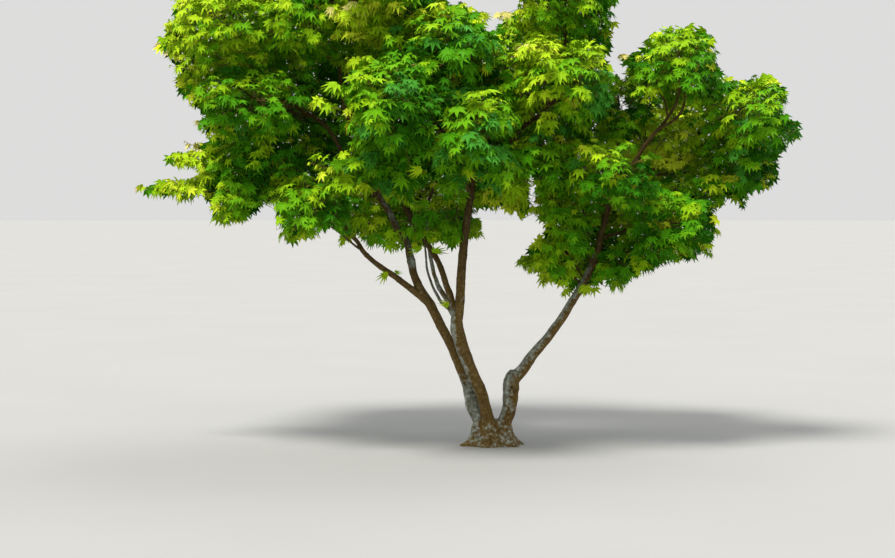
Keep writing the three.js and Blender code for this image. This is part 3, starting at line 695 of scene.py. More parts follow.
# Long and single shoots that stand out of the crown: pixel and depth of the
# shoot's foot and tip, how many pairs of leaves, tint, size of leaf. The size is
# negative on a shoot that leaves a bare stretch of its limb.
SHOOTS = [
    # behind the right bough: yellow and bright tints paint the light that comes through the leaves there
    ((666, 138, 0.030), (684, 134, 0.020), 3, "yellow", 0.95),
    ((674, 131, 0.040), (692, 128, 0.030), 3, "bright", 0.95),
    ((658, 146, 0.045), (674, 142, 0.040), 3, "bright", 0.90),
    ((686, 140, 0.030), (698, 137, 0.020), 2, "bright", 0.90),
    ((206, 184, 0.050), (140, 188, 0.052), 6, "bright", 1.15),
    ((212, 190, -0.020), (166, 190, -0.030), 4, "yellow", 1.15),
    ((212, 182, 0.110), (176, 183, 0.120), 3, "bright", 1.10),
    ((206, 194, 0.030), (184, 198, 0.020), 2, "lime", 1.10),
    ((206, 161, 0.022), (168, 159, 0.024), 4, "yellow", 1.10),
    ((212, 166, -0.040), (180, 164, -0.050), 3, "bright", 1.10),
    ((212, 156, 0.090), (182, 154, 0.100), 3, "yellow", 1.10),
    ((210, 150, -0.010), (186, 142, -0.010), 3, "cream", 0.80),
    ((243, 120, -0.060), (204, 128, -0.070), 4, "yellow", 1.05),
    ((238, 131, -0.100), (210, 136, -0.110), 3, "bright", 1.05),
    ((240, 124, 0.100), (206, 132, 0.110), 3, "yellow", 1.05),
    ((226, 92, -0.05), (188, 90, -0.06), 3, "yellow", 1.05),
    ((222, 80, 0.04), (186, 80, 0.05), 3, "bright", 1.05),
    ((220, 100, 0.06), (192, 104, 0.07), 3, "bright", 1.00),
    ((352, 171, -0.300), (312, 163, -0.305), 4, "yellow", 0.90),
    ((356, 164, -0.290), (324, 168, -0.300), 3, "bright", 1.00),
    ((368, 128, -0.300), (352, 126, -0.330), 2, "yellow", 1.00),
    ((370, 110, -0.290), (352, 112, -0.320), 2, "bright", 1.00),
    ((372, 86, -0.300), (356, 84, -0.330), 3, "bright", 1.00),
    ((366, 44, -0.260), (350, 34, -0.290), 3, "yellow", 1.00),
    ((368, 62, -0.270), (350, 58, -0.290), 3, "bright", 1.00),
    ((352, 52, 0.060), (340, 50, 0.050), 3, "lime", 1.00),
    ((376, 58, 0.020), (362, 50, 0.000), 3, "lime", 1.00),
    ((358, 62, 0.120), (367, 50, 0.120), 3, "fresh", 1.00),
    ((352, 62, 0.160), (350, 48, 0.160), 3, "fresh", 1.00),
    ((354, 72, 0.100), (344, 66, 0.090), 3, "bright", 1.00),
    ((378, 190, -0.330), (362, 186, -0.360), 2, "bright", 1.05),
    ((436, 10, -0.280), (444, 14, -0.310), 2, "yellow", 1.00),
    ((404, 8, -0.300), (392, 5, -0.330), 3, "yellow", 0.95),
    ((380, 8, -0.300), (368, 6, -0.330), 3, "yellow", 0.95),
    ((362, 10, -0.280), (350, 8, -0.310), 2, "cream", 0.95),
    ((350, 14, -0.260), (338, 14, -0.280), 2, "yellow", 1.00),
    ((470, 12, -0.200), (462, 10, -0.220), 2, "yellow", 1.00),
    ((510, 12, -0.120), (502, 14, -0.140), 2, "cream", 0.85),
    ((488, 186, -0.040), (494, 202, -0.050), 2, "yellow", 1.00),
    ((498, 188, -0.050), (508, 206, -0.060), 2, "bright", 1.00),
    ((508, 190, -0.040), (516, 206, -0.050), 2, "yellow", 0.95),
    ((500, 182, 0.020), (504, 196, 0.020), 2, "lime", 1.00),
    ((482, 182, 0.030), (484, 196, 0.030), 2, "bright", 1.00),
    ((418, 212, -0.010), (424, 224, -0.050), 3, "green", 1.00),
    ((410, 222, 0.000), (414, 234, -0.040), 3, "fresh", 1.00),
    ((398, 224, 0.010), (394, 236, -0.020), 2, "lime", 0.95),
    ((424, 200, -0.040), (418, 206, -0.080), 2, "fresh", 1.05),
    ((432, 208, -0.020), (438, 220, -0.050), 3, "green", 1.00),
    ((444, 214, -0.020), (450, 228, -0.050), 3, "fresh", 1.00),
    ((456, 190, -0.040), (460, 198, -0.080), 2, "fresh", 1.10),
    ((456, 216, -0.010), (457, 230, -0.040), 3, "green", 1.00),
    ((430, 228, -0.020), (434, 238, -0.050), 3, "lime", 0.95),
    ((446, 230, -0.010), (450, 240, -0.040), 2, "fresh", 0.95),
    ((376, 226, -0.010), (370, 240, -0.020), 3, "fresh", 1.00),
    ((366, 214, -0.020), (356, 226, -0.040), 3, "lime", 1.00),
    ((386, 236, 0.020), (390, 244, 0.010), 2, "lime", 0.95),
    ((354, 236, -0.062), (347, 240, -0.070), 2, "bright", -0.95),
    ((466, 238, -0.012), (478, 235, 0.004), 2, "bright", -1.05),
    ((466, 230, -0.014), (476, 227, 0.010), 2, "lime", -1.05),
    ((222, 60, -0.10), (184, 18, -0.10), 4, "bright", 1.00),
    ((205, 45, 0.02), (176, 34, 0.02), 3, "yellow", 1.00),
    ((190, 60, 0.05), (166, 50, 0.05), 3, "cream", 0.85),
    ((196, 70, -0.06), (172, 66, -0.06), 3, "bright", 1.00),
    ((200, 20, 0.10), (182, 6, 0.12), 3, "cream", 0.90),
    ((222, 206, -0.10), (222, 220, -0.11), 3, "lime", 1.00),
    ((236, 204, -0.06), (238, 216, -0.06), 2, "bright", 1.00),
    ((292, 228, -0.12), (290, 238, -0.13), 3, "lime", 1.00),
    ((306, 224, -0.10), (310, 232, -0.10), 2, "bright", 1.00),
    ((604, 286, 0.02), (622, 286, 0.02), 3, "lime", 0.90),
    ((596, 284, -0.02), (588, 290, -0.03), 2, "bright", 0.90),
    ((572, 284, 0.06), (567, 289, 0.06), 2, "bright", 0.90),
    ((562, 264, 0.02), (530, 264, 0.02), 4, "lime", 0.95),
    ((560, 276, 0.02), (544, 282, 0.02), 3, "bright", 0.95),
    ((632, 62, -0.08), (624, 58, -0.08), 2, "cream", 0.85),
    ((688, 45, -0.10), (690, 38, -0.10), 2, "lime", 0.95),
    ((700, 56, -0.06), (708, 52, -0.06), 3, "yellow", 0.90),
    ((704, 68, -0.08), (710, 66, -0.08), 2, "yellow", 0.85),
    ((752, 96, 0.00), (758, 90, 0.00), 2, "bright", 0.90),
    ((764, 106, 0.02), (771, 99, 0.02), 3, "yellow", 0.90),
    ((772, 130, 0.00), (787, 132, 0.00), 3, "bright", 0.90),
    ((760, 168, 0.04), (767, 173, 0.04), 2, "bright", 0.90),
    ((733, 190, 0.06), (738, 198, 0.06), 2, "bright", 0.90),
    ((708, 226, 0.10), (712, 229, 0.10), 2, "bright", 0.90),
    ((700, 248, 0.10), (706, 252, 0.10), 2, "lime", 0.90),
]

# Single leaves that stand out: pixel and depth of the leaf's base, which way its
# middle lobe points in the picture (degrees from straight down, positive to the
# right), its length in pixels, how far it is turned edge-on, and its tint.
SINGLES = [
    ((385, 273, -0.020), -22, 13, 28, "bright"),
    ((388, 273, -0.024), -70, 9, 50, "bright"),
    ((395, 271, -0.010), 62, 9, 70, "lime"),
    ((432, 250, 0.000), 84, 18, 76, "lime"),
    ((421, 247, 0.020), -62, 16, 70, "lime"),
    ((449, 303, -0.040), -80, 12, 72, "yellow"),
    ((448, 304, -0.042), -34, 7, 55, "bright"),
    ((468, 170, -0.470), 28, 14, 42, "bright"),
    ((466, 169, -0.470), -30, 10, 52, "lime"),
    ((421, 168, -0.500), -58, 17, 52, "bright"),
    ((417, 168, -0.490), -18, 13, 55, "lime"),
    ((486, 66, -0.330), -6, 13, 30, "yellow"),
    ((486, 66, -0.325), 58, 10, 45, "bright"),
    ((484, 66, -0.330), -66, 10, 50, "yellow"),
    ((358, 117, -0.350), -44, 16, 45, "yellow"),
    ((360, 120, -0.345), -8, 12, 50, "bright"),
    ((481, 12, -0.200), 4, 16, 35, "yellow"),
    ((478, 12, -0.195), -42, 12, 45, "bright"),
    ((484, 14, -0.190), 46, 11, 48, "yellow"),
    ((441, 2, -0.320), 12, 15, 40, "yellow"),
    ((331, 7, -0.300), -8, 13, 25, "cream"),
    ((344, 16, -0.310), -28, 14, 40, "yellow"),
    ((352, 20, -0.310), 18, 12, 45, "bright"),
    ((161, 44, 0.060), -42, 10, 40, "rose"),
    ((165, 43, 0.055), -12, 9, 45, "cream"),
    ((171, 29, 0.030), -60, 7, 45, "rose"),
    ((181, 4, 0.110), -30, 12, 35, "rose"),
    ((186, 2, 0.110), -4, 11, 40, "yellow"),
    ((183, 76, 0.050), -34, 13, 40, "yellow"),
    ((187, 84, 0.050), -12, 12, 45, "bright"),
    ((199, 121, -0.070), -48, 8, 40, "cream"),
]

def must_go(points, size):
    """Which leaves, by their middles and sizes, stand in a window or an opening."""
    px = pixel_of(points)
    half = 0.42 * size * FOCAL_PX / (points[:, 1] - EYE[1])
    gone = np.zeros(len(points), bool)
    for line, wide, y in WINDOWS:
        gone |= (span_from(px, line) < wide * 0.75 + half * 0.75) & (points[:, 1] < y + 0.012)
    for line, wide in OPENINGS:
        gone |= span_from(px, line) < wide * 0.8 + half * 0.7
    return gone


# how much stands around each place, 0 in the open and 1 deep inside
crowd = closed.astype(float)
for _ in range(14):
    for axis in range(3):
        crowd = (crowd + np.roll(crowd, 1, axis) + np.roll(crowd, -1, axis)) / 3
LARGE = {"leaves_middle_front": 1.14, "leaves_middle_low": 1.16, "leaves_middle_skirt": 1.08, "leaves_middle_shoulder": 1.08, "leaves_middle_top": 1.0, "leaves_centre_middle": 1.02, "leaves_centre_low": 1.0}

sprays = []


def sprays_for(points, filler=False):
    """A record for a spray at each point."""
    out = outward(points)
    own, family = family_of(points)
    deep = depth[cell_of(points)]
    lean = unit(points - pos[:used][[nearest_node(p, f) for p, f in zip(points, family)]] + 1e-6)
    to = unit(0.75 * out + 0.35 * lean + rng.normal(size=lean.shape) * 0.28 + UP * 0.10)
    to[:, 2] = np.clip(to[:, 2], -0.25, 0.75)
    to = unit(to)
    length = rng.uniform(0.050, 0.075, len(points)) if filler else rng.uniform(0.055, 0.095, len(points))
    made = []
    for k in range(len(points)):
        mass = MASS_NAMES[own[k]]
        scale = LARGE.get(mass, 0.89) if deep[k] <= 4 else 0.98
        made.append({
            "at": points[k], "out": out[k], "mass": mass, "family": int(family[k]), "deep": int(deep[k]), "way": to[k],
            "length": length[k], "base": points[k] - to[k] * length[k] * 0.5, "pairs": 2 if length[k] < 0.068 else 3,
            "scale": scale, "tint": None, "special": False, "bare": False, "filler": filler,
            "crowd": crowd[tuple(cell_of(points[k][None])[a][0] for a in range(3))],
        })
    return made


def special_sprays():
    foot = np.array([at_pixel(*a) for a, b, n, t, k in SHOOTS])
    tip = np.array([at_pixel(*b) for a, b, n, t, k in SHOOTS])
    middle = (foot + tip) / 2
    own, family = family_of(middle)
    made = []
    for k, (a, b, pairs, tint, size) in enumerate(SHOOTS):
        if size < 0:
            family[k] = LEFT if a[0] < 425 else MIDDLE
        length = float(np.linalg.norm(tip[k] - foot[k]))
        to = unit(tip[k] - foot[k])
        made.append({
            "at": middle[k], "out": unit(0.5 * outward(middle[k][None])[0] + to), "mass": MASS_NAMES[own[k]], "family": int(family[k]), "deep": 1, "way": to,
            "length": length, "base": foot[k], "pairs": pairs, "scale": abs(size), "tint": tint, "special": True, "bare": size < 0, "filler": False, "crowd": 0.3,
        })
    return made


# Leafy sprays at the very front: pixel, reach, how many, tint. The lime and bright ones under the left mass also paint
# light in its shade, and the cool ones partly the sky's sheen.
VEILS = [
    (262, 126, 16, 5, "lime"), (292, 138, 14, 5, "fresh"), (248, 150, 13, 4, "green"), (283, 163, 16, 6, "fresh"),
    (312, 178, 14, 5, "green"), (300, 198, 14, 4, "fresh"), (262, 186, 12, 4, "green"), (232, 122, 12, 4, "bright"),
    (214, 118, 7, 2, "bright"), (320, 158, 8, 3, "fresh"), (240, 168, 12, 4, "lime"), (222, 150, 10, 3, "bright"),
    (255, 140, 12, 4, "lime"), (272, 152, 12, 4, "lime"), (300, 160, 12, 4, "lime"), (285, 182, 12, 4, "lime"),
    (320, 196, 12, 4, "lime"), (252, 172, 10, 3, "fresh"), (305, 145, 9, 3, "bright"), (270, 168, 9, 3, "bright"),
    (246, 195, 10, 3, "fresh"),
    (672, 152, 9, 4, "fresh"), (692, 146, 8, 4, "lime"), (682, 172, 10, 4, "green"), (660, 170, 6, 3, "fresh"),
    (705, 165, 10, 4, "fresh"), (640, 196, 12, 4, "green"), (560, 150, 16, 5, "fresh"), (590, 172, 14, 5, "lime"),
    (520, 165, 12, 4, "fresh"), (548, 190, 12, 4, "lime"), (612, 150, 10, 3, "bright"), (600, 120, 12, 4, "fresh"),
    (715, 190, 10, 4, "bright"), (700, 215, 12, 4, "lime"), (668, 240, 12, 4, "fresh"), (640, 256, 10, 3, "lime"),
    (516, 210, 8, 4, "yellow"), (528, 211, 6, 4, "bright"), (535, 214, 5, 3, "lime"), (482, 208, 6, 3, "bright"),
    (405, 205, 14, 5, "fresh"), (440, 214, 12, 5, "green"), (448, 236, 8, 3, "fresh"), (362, 214, 12, 4, "fresh"),
    (345, 190, 12, 4, "lime"), (430, 60, 14, 4, "fresh"), (400, 90, 14, 4, "cool"), (450, 100, 12, 4, "cool"),
]


def veil_sprays():
    made = []
    for u, v, reach, count, tint in VEILS:
        for k in range(count):
            a, b = u + rng.normal(0, reach * 0.6), v + rng.normal(0, reach * 0.5)
            line = np.array([at_pixel(a, b, y) for y in np.arange(-0.70, 0.80, 0.01)])
            hit = np.nonzero(closed[cell_of(line)])[0]
            if not len(hit):
                continue
            s = sprays_for(line[hit[0] + 1][None])[0]
            s["tint"] = tint
            made.append(s)
    return made


def grow_twigs(records):
    seen = pos[:used][can_bear[:used]]
    far = [np.linalg.norm(seen - s["base"], axis=1).min() for s in records]
    for k in np.argsort(far):
        s = records[k]
        s["from"] = grow_to(s["base"], s["family"], s["way"], "twig", 0.032, wander=0.05, anywhere=s["bare"])


# ---------------------------------------------------------------- one leaf
LOBE_TURN = [0.0, 39.0, 78.0, 122.0]
LOBE_LENGTH = [1.0, 0.95, 0.76, 0.42]
SINUS = [0.15, 0.30, 0.42, 0.45, 0.45, 0.42, 0.30, 0.15]  # how far out the leaf is whole between its lobes


def leaf_shape(r, plain=False, spread=1.0):
    """A leaf in its own plane: y along the middle lobe, z up, base at 0. Its
    lobes are folded along their ribs and droop a little to their tips. A plain
    leaf is for the inside of the crown."""
    order = [-3, -2, -1, 0, 1, 2, 3]
    shake = r.normal(0, 3.0, 7)
    ang = [(math.copysign(LOBE_TURN[abs(k)], k) + shake[i]) * spread if k else 0.0 for i, k in enumerate(order)]
    lens = [LOBE_LENGTH[abs(k)] * r.uniform(0.92, 1.08) for k in order]
    cup = r.uniform(-0.02, 0.12)
    droop = r.uniform(0.04, 0.22)
    fold = r.uniform(0.04, 0.085)
    verts, uv, faces = [(0, 0, 0)], [(0, 0)], []

    def put(angle_deg, dist, z, at_uv):
        a = math.radians(angle_deg)
        verts.append((math.sin(a) * dist, math.cos(a) * dist, z))
        uv.append(at_uv)
        return len(verts) - 1

    between = [ang[0] - 30] + [(ang[i] + ang[i + 1]) / 2 for i in range(6)] + [ang[6] + 30]
    edge = []
    for a, g in zip(between, SINUS):
        g *= r.uniform(0.9, 1.1)
        edge.append(put(a, g * (1.08 if plain else 1.0), fold - cup * g * g, (1, g)))
    for i, (a, ln) in enumerate(zip(ang, lens)):
        if plain and abs(order[i]) == 3:
            continue
        tip = put(a + r.normal(0, 3.0), ln, -droop * ln * ln - 0.01, (0, 1.0))
        left, right = edge[i], edge[i + 1]
        if plain or abs(order[i]) >= 2:  # the small lobes by the stalk
            faces += [(0, tip, left), (0, right, tip)]
            continue
        m = put(a, ln * 0.56, -fold * 0.4 - cup * (ln * 0.56) ** 2 * 0.8, (0, 0.56))
        faces += [(0, m, left), (left, m, tip), (0, right, m), (m, right, tip)]
    return np.array(verts), np.array(faces), np.array(uv)


FULL_FORMS = 8
SHAPES = [leaf_shape(np.random.default_rng(SEED * 10 + k)) for k in range(FULL_FORMS)]
SHAPES += [leaf_shape(np.random.default_rng(SEED * 10 + 50 + k), plain=True) for k in range(4)]
SHAPES += [leaf_shape(np.random.default_rng(SEED * 10 + 80 + k), spread=0.54) for k in range(3)]  # hanging, half closed
HANGING = FULL_FORMS + 4

# ---------------------------------------------------------------- leaves on the sprays
# Plain leaf colours. Besides the leaves' own greens, yellows, cream and rose, the dark ones also paint shade and the
# light ones light coming through the leaves; 'glow' is a painted glow of backlit leaves and 'cool' a bluer green that
# partly paints the sky's sheen.
TINTS = {
    "deep": (30, 90, 3),
    "shade": (50, 114, 6),
    "green": (74, 142, 10),
    "fresh": (101, 161, 14),
    "lime": (138, 181, 17),
    "bright": (169, 201, 28),
    "yellow": (194, 211, 46),
    "cream": (222, 214, 128),
    "rose": (228, 184, 144),
    "cool": (66, 138, 38),
    "glow": (222, 250, 46),
}
TINT_NAMES = list(TINTS)
PALE_TOPS = ("leaves_middle_top", "leaves_left_crest", "leaves_left_top", "leaves_middle_back_top", "leaves_centre_top")
LEAF = 0.0318  # the middle lobe of a full leaf
TIP_R = 0.00095  # of the last twigs

# the side the light is painted from: leaves turned to it get lighter, yellower tints
LIT_SIDE = unit(np.array([-0.55, 0.10, 0.85]))  # where the crown is yellowest

leaves = []  # base, x, y, z, size, tint, form, how free of the outline, spray, place on the shoot
stalks = []


def turned(v, axis, angle):
    c, s = math.cos(angle), math.sin(angle)
    return v * c + np.cross(axis, v) * s + axis * (axis @ v) * (1 - c)


def waves(p, scale, shift):
    v = Vector(p * scale) + Vector((shift, shift * 0.37, -shift * 0.71))
    return mnoise.noise(v) + 0.5 * mnoise.noise(v * 2.1)


def tint_for(s):
    """Tints that paint light and shade over the leaves' own colours: yellower and
    brighter on top, at the ends of boughs and underneath, where the light comes
    through, darker deep inside, where the shade falls, and greener on the flanks."""
    _, warm, bright = MASSES[s["mass"]]
    out, deep = s["out"], s["deep"]
    # the thin tips at the left get only light tints, partly painting the light through them
    if s["mass"] in ("leaves_left_tip", "leaves_left_spray"):
        return ("lime", "bright", "bright", "yellow")[int(rng.integers(0, 4))]
    shell = 1.0 if deep <= 3 else (0.5 if deep <= 5 else 0.0)
    lit = float(out @ LIT_SIDE)
    point = float(np.clip((0.42 - s["crowd"]) / 0.22, -0.6, 1.2))
    under = max(-out[2] - 0.1, 0.0)
    facing = max(-out[1] - 0.45, 0.0) * (1 - abs(out[2]))
    painted_glint_chance = 0.32 if s["mass"].startswith(("leaves_centre", "leaves_right")) else (0.20 if s["mass"].startswith("leaves_left") else 0.15)
    broad = waves(s["at"], 3.4, 21.0)
    # painted light and shade: lighter on the lit side, at the tips and underneath, darker deep inside and on the faces
    # toward the camera
    score = bright * 0.95 + 0.34 * lit * shell + 0.16 * point * shell + 0.44 * under * shell - 0.10 * facing + 0.12 * (shell - 0.6) + 0.20 * broad + rng.normal(0, 0.11)
    hue = warm + 0.26 * lit * shell + 0.12 * point + 0.34 * under - 0.22 * facing + 0.16 * waves(s["at"], 6.0, 5.0) + rng.normal(0, 0.09)
    if deep <= 2 and out[2] > 0.45 and rng.random() < (0.025 if s["mass"] in PALE_TOPS else 0.006) * (1.0 if out[1] < 0.25 else 0.4):
        return "cream" if rng.random() < 0.95 else "rose"
    # painted glints: deep inside, some sprays get light tints for light that finds its way in
    if deep > 3 and rng.random() < painted_glint_chance:  # light that finds its way in
        r = rng.random()
        return "bright" if r < 0.52 else ("yellow" if r < 0.80 else "glow")
    if s["mass"] == "leaves_right_inner" and score > 0.55:  # the light comes through behind the bough
        return "glow" if hue > 0.80 else ("yellow" if hue > 0.64 else "bright")
    if score < 0.20:
        return "deep"
    if score < 0.40:
        return "shade" if hue < 0.62 else "green"
    if score < 0.58:
        return "green" if hue < 0.56 else ("fresh" if hue < 0.74 else "lime")
    if score < 0.78:
        return "cool" if hue < 0.32 else ("fresh" if hue < 0.60 else "lime")
    if score < 1.02:
        return "fresh" if hue < 0.46 else ("lime" if hue < 0.70 else "bright")
    return "lime" if hue < 0.50 else ("bright" if hue < 0.82 else "yellow")


ordered = []
stray = np.zeros(0, bool)  # sprays on twigs that would cross the open air


def spray_number(s):
    ordered.append(s)
    return len(ordered) - 1


def put_leaves(s):
    """The shoot of a spray, its leaves in pairs and at its end, and their stalks."""
    to, out, base, length = s["way"], s["out"], s["base"], s["length"]
    tint = s["tint"] or tint_for(s)
    tint_no = TINT_NAMES.index(tint)
    special, pairs = s["special"], s["pairs"]
    t = np.linspace(0, 1, pairs + 2)
    sag = -0.05 * length * np.sin(t * math.pi) if special else -0.16 * length * t**2
    pts = base + to * length * t[:, None] + UP * sag[:, None]
    pts[1:-1] += rng.normal(0, 0.0012, (pairs, 3))
    s["points"] = pts
    side0 = unit(np.cross(UP, to) + 1e-9)
    base_roll = rng.normal(0, 0.35)
    out_h = out * np.array([1.0, 1.0, 0.0])
    if np.linalg.norm(out_h) < 0.2:
        out_h = out_h * 0.3
    droop_mean = 46 - 30 * max(out[2], 0) + 14 * max(-out[2], 0)
    if special:
        droop_mean = 60 if to[2] < 0.4 else 30
    plain = s["deep"] >= 4 or (s["filler"] and s["deep"] >= 3)
    free = 1 if special else (2 if s["filler"] else 0)
    number_of_spray = spray_number(s)
    for k in range(1, pairs + 2):
        end = k == pairs + 1
        roll = base_roll + (0.0 if k % 2 else 0.75) + rng.normal(0, 0.25)
        grow_f = 0.74 + 0.34 * math.sin(math.pi * min(1.0, (k / (pairs + 1)) * 0.95))
        for sign in ((-1, 1) if not end else ((-1, 1, 0) if pairs else (0,))):
            if not end and rng.random() < 0.06:
                continue
            fan = math.radians(rng.normal(62 if k < pairs else 46, 9)) if not end else math.radians(rng.normal(30, 8))
            if sign == 0:
                p_dir = unit(to + rng.normal(0, 0.12, 3))
            else:
                axis_side = turned(side0 * sign, to, roll * sign)
                p_dir = unit(to * math.cos(fan) + axis_side * math.sin(fan) + UP * 0.22)
            size = LEAF * s["scale"] * grow_f * rng.uniform(0.80, 1.2)
            if special and pairs >= 3:
                size *= 1.08 - 0.50 * (k / (pairs + 1)) ** 3
            if end and pairs:
                size *= 0.82
            blade = pts[k] + p_dir * size * rng.uniform(0.42, 0.78)
            h = unit(p_dir * np.array([1, 1, 0.0]) * 0.9 + out_h * 0.75 + rng.normal(0, 0.10, 3) * np.array([1, 1, 0]) + 1e-9)
            dr = math.radians(np.clip(rng.normal(droop_mean, 16), 0, 82))
            y = h * math.cos(dr) - UP * math.sin(dr)
            nrm = h * math.sin(dr) + UP * math.cos(dr)
            nrm = unit(turned(nrm, y, rng.normal(0, 0.36)))
            number = tint_no
            if end and tint in ("lime", "bright", "fresh", "green") and rng.random() < 0.30:
                number = min(tint_no + 1, TINT_NAMES.index("yellow"))
            elif k == 1 and tint in ("fresh", "lime", "bright", "yellow") and rng.random() < 0.30:
                number = tint_no - 1
            if end and special and pairs >= 5:
                number = TINT_NAMES.index("rose" if sign == 0 else "cream")
            form = rng.integers(FULL_FORMS, HANGING) if plain else rng.integers(0, FULL_FORMS)
            if special and pairs >= 3 and rng.random() < 0.5:
                form = rng.integers(HANGING, len(SHAPES))
            leaves.append((blade, np.cross(y, nrm), y, nrm, size, number, form, free, number_of_spray, k))
            stalks.append((pts[k], blade))


def put_singles():
    """Leaves placed one by one, each on a stalk from the nearest shoot or limb."""
    scale = lambda p: (p[1] - EYE[1]) / FOCAL_PX
    for (u, v, depth_y), angle, px, edge_on, tint in SINGLES:
        base = at_pixel(u, v, depth_y)
        a = math.radians(angle)
        y = unit(np.array([math.sin(a), -0.18, -math.cos(a)]))
        nrm = unit(np.array([0.0, -1.0, 0.35]) - (np.array([0.0, -1.0, 0.35]) @ y) * y)
        nrm = turned(nrm, y, math.radians(edge_on) * (1 if angle > 0 else -1))
        size = px * scale(base)
        leaves.append((base, np.cross(y, nrm), y, nrm, size, TINT_NAMES.index(tint), int(rng.integers(HANGING, len(SHAPES))), 1, -1, 0))
        family = LEFT if (u < 425 and v > 200) or u < 340 else MIDDLE
        ok = np.nonzero(fam[:used] == family)[0]
        q = pos[ok[np.argmin(np.linalg.norm(pos[ok] - base, axis=1))]]
        stalks.append((q, base))


def leaf_arrays():
    return tuple(np.array([a[k] for a in leaves]) for k in range(10))


room_lo, room_hi = cad_lo - 0.03 * (cad_hi - cad_lo) - 0.004, cad_hi + 0.03 * (cad_hi - cad_lo) + 0.004


def kept_leaves(arrays=None):
    """Leaves that stay: inside the crown's room and outline, and out of the windows."""
    at, x, y, z, size, tint, form, free, number, place = arrays or leaf_arrays()
    span = size[:, None] * 1.02
    keep = ((at - span > room_lo) & (at + span < room_hi)).all(1)
    tip = at + y * size[:, None] * 0.85
    keep &= closed[cell_of(tip)] | closed[cell_of(tip - outward(tip) * 0.016)] | (free > 0)
    keep &= ~must_go(at + y * (size * 0.4)[:, None], size) | (free == 1)
    px = pixel_of(at + y * (size * 0.7)[:, None])
    keep &= looked_up(IN_OUTLINE, px) | (free == 1)
    keep &= looked_up(INNER, px) | (free != 2)
    if len(stray) == len(ordered):
        keep &= ~(stray[number] & (number >= 0))
    # a spray that would lose most of its leaves goes as a whole
    on = number >= 0
    whole = np.bincount(number[on], minlength=len(ordered))
    stay = np.bincount(number[on], weights=keep[on], minlength=len(ordered))
    poor = (stay < 0.4 * whole)
    keep[on] &= ~(poor[number[on]] & (free[on] != 1))
    return keep


# points over a leaf, to find out what it hides
SAMPLES = []
for shape, faces, uv in SHAPES:
    a, b, c = (shape[faces[:, k]] for k in range(3))
    SAMPLES.append(np.concatenate([(a + b + c) / 3, (a + 4 * b + c) / 6, (a + b + 4 * c) / 6, (4 * a + b + c) / 6]))
SAMPLE_COUNT = min(len(s) for s in SAMPLES)
PICK = [np.linspace(0, len(s) - 1, SAMPLE_COUNT).astype(int) for s in SAMPLES]
SAMPLES = np.array([s[k] for s, k in zip(SAMPLES, PICK)])

def stamped(q, reach_lo, reach_hi):
    out = np.zeros((HIGH, WIDE), bool)
    for du in range(reach_lo, reach_hi + 1):
        for dv in range(reach_lo, reach_hi + 1):
            u, v = q[:, 0] + du, q[:, 1] + dv + LIFT
            ok = (u >= 0) & (u < WIDE) & (v >= 0) & (v < HIGH)
            out[v[ok], u[ok]] = True
    return out


def leaf_points():
    """Points over all the leaves that stay."""
    arrays = leaf_arrays()
    keep = kept_leaves(arrays)
    at, x, y, z, size, tint, form = (a[keep] for a in arrays[:7])
    local = SAMPLES[form] * size[:, None, None]
    return (at[:, None] + local[..., 0:1] * x[:, None] + local[..., 1:2] * y[:, None] + local[..., 2:3] * z[:, None]).reshape(-1, 3)


cells_all = np.argwhere(depth >= 1)
cells_at = grid_lo + (cells_all + 0.5) * CELL
cells_deep = depth[tuple(cells_all.T)]


def fill_gaps(azimuth, rise, block, least, most, inset=8):
    """New sprays where the open air shows through the crown from one side."""
    camera_view = azimuth is None
    if camera_view:
        view = pixel_of
    else:
        a, e = math.radians(azimuth), math.radians(rise)
        right = np.array([math.cos(a), math.sin(a), 0.0])
        look = np.array([-math.sin(a) * math.cos(e), math.cos(a) * math.cos(e), -math.sin(e)])
        up = np.cross(right, look)
        view = lambda p: np.stack([(p @ right) / 0.003 + 450, 450 - (p @ up) / 0.003], -1)
    hidden = stamped(np.floor(view(leaf_points()) - 0.5).astype(int), 0, 1)
    cell_px = view(cells_at)
    room = stamped(cell_px.astype(int), -3, 3)
    want = ~swelled(~swelled(room, 5), 5 + inset)
    if camera_view:
        want &= ~swelled(~IN_OUTLINE, 4)
        vv, uu = np.nonzero(want & ~hidden)
        spots = np.stack([uu, vv - LIFT], 1).astype(float)
        shut = np.zeros(len(spots), bool)
        for line, width in OPENINGS:
            shut |= span_from(spots, line) < width + 3
        want[vv[shut], uu[shut]] = False
    gaps = want & ~hidden
    vv, uu = np.nonzero(gaps)
    bw = WIDE // block + 1
    number = (vv // block) * bw + uu // block
    count = np.bincount(number)
    mean_u = np.bincount(number, weights=uu) / np.maximum(count, 1)
    mean_v = np.bincount(number, weights=vv) / np.maximum(count, 1)
    order = [n for n in np.argsort(-count, kind="stable") if count[n] >= least]
    centres, points = [], []
    for n in order:
        c = np.array([mean_u[n], mean_v[n] - LIFT])
        if centres and (np.abs(np.array(centres) - c).max(1) < 8).any():
            continue
        off = cell_px - c
        far = np.abs(off).max(1)
        near = np.nonzero(far < 7)[0]
        if not len(near):
            near = np.nonzero(far < 14)[0]
        if not len(near):
            continue
        inner = near[cells_deep[near] >= 2]
        near = inner if len(inner) else near
        place = None
        for k in rng.choice(near, 8):
            if camera_view:
                q = at_pixel(c[0], c[1], cells_at[k][1])
                if must_go(q[None], np.array([0.034]))[0]:
                    continue
            else:
                q = cells_at[k] - right * off[k][0] * 0.003 + up * off[k][1] * 0.003
            place = q
            break
        if place is None and camera_view:
            behind = [y_at for line, width, y_at in WINDOWS if span_from(c[None], line)[0] < width + 14]
            if not behind:
                continue
            place = at_pixel(c[0], c[1], max(behind) + 0.05)
        if place is None:
            continue
        centres.append(c)
        points.append(place)
        if len(points) >= most:
            break
    print("gaps", azimuth, round(float(gaps.sum() / max(want.sum(), 1)), 4), "new", len(points))
    if points:
        add_sprays(np.array(points))


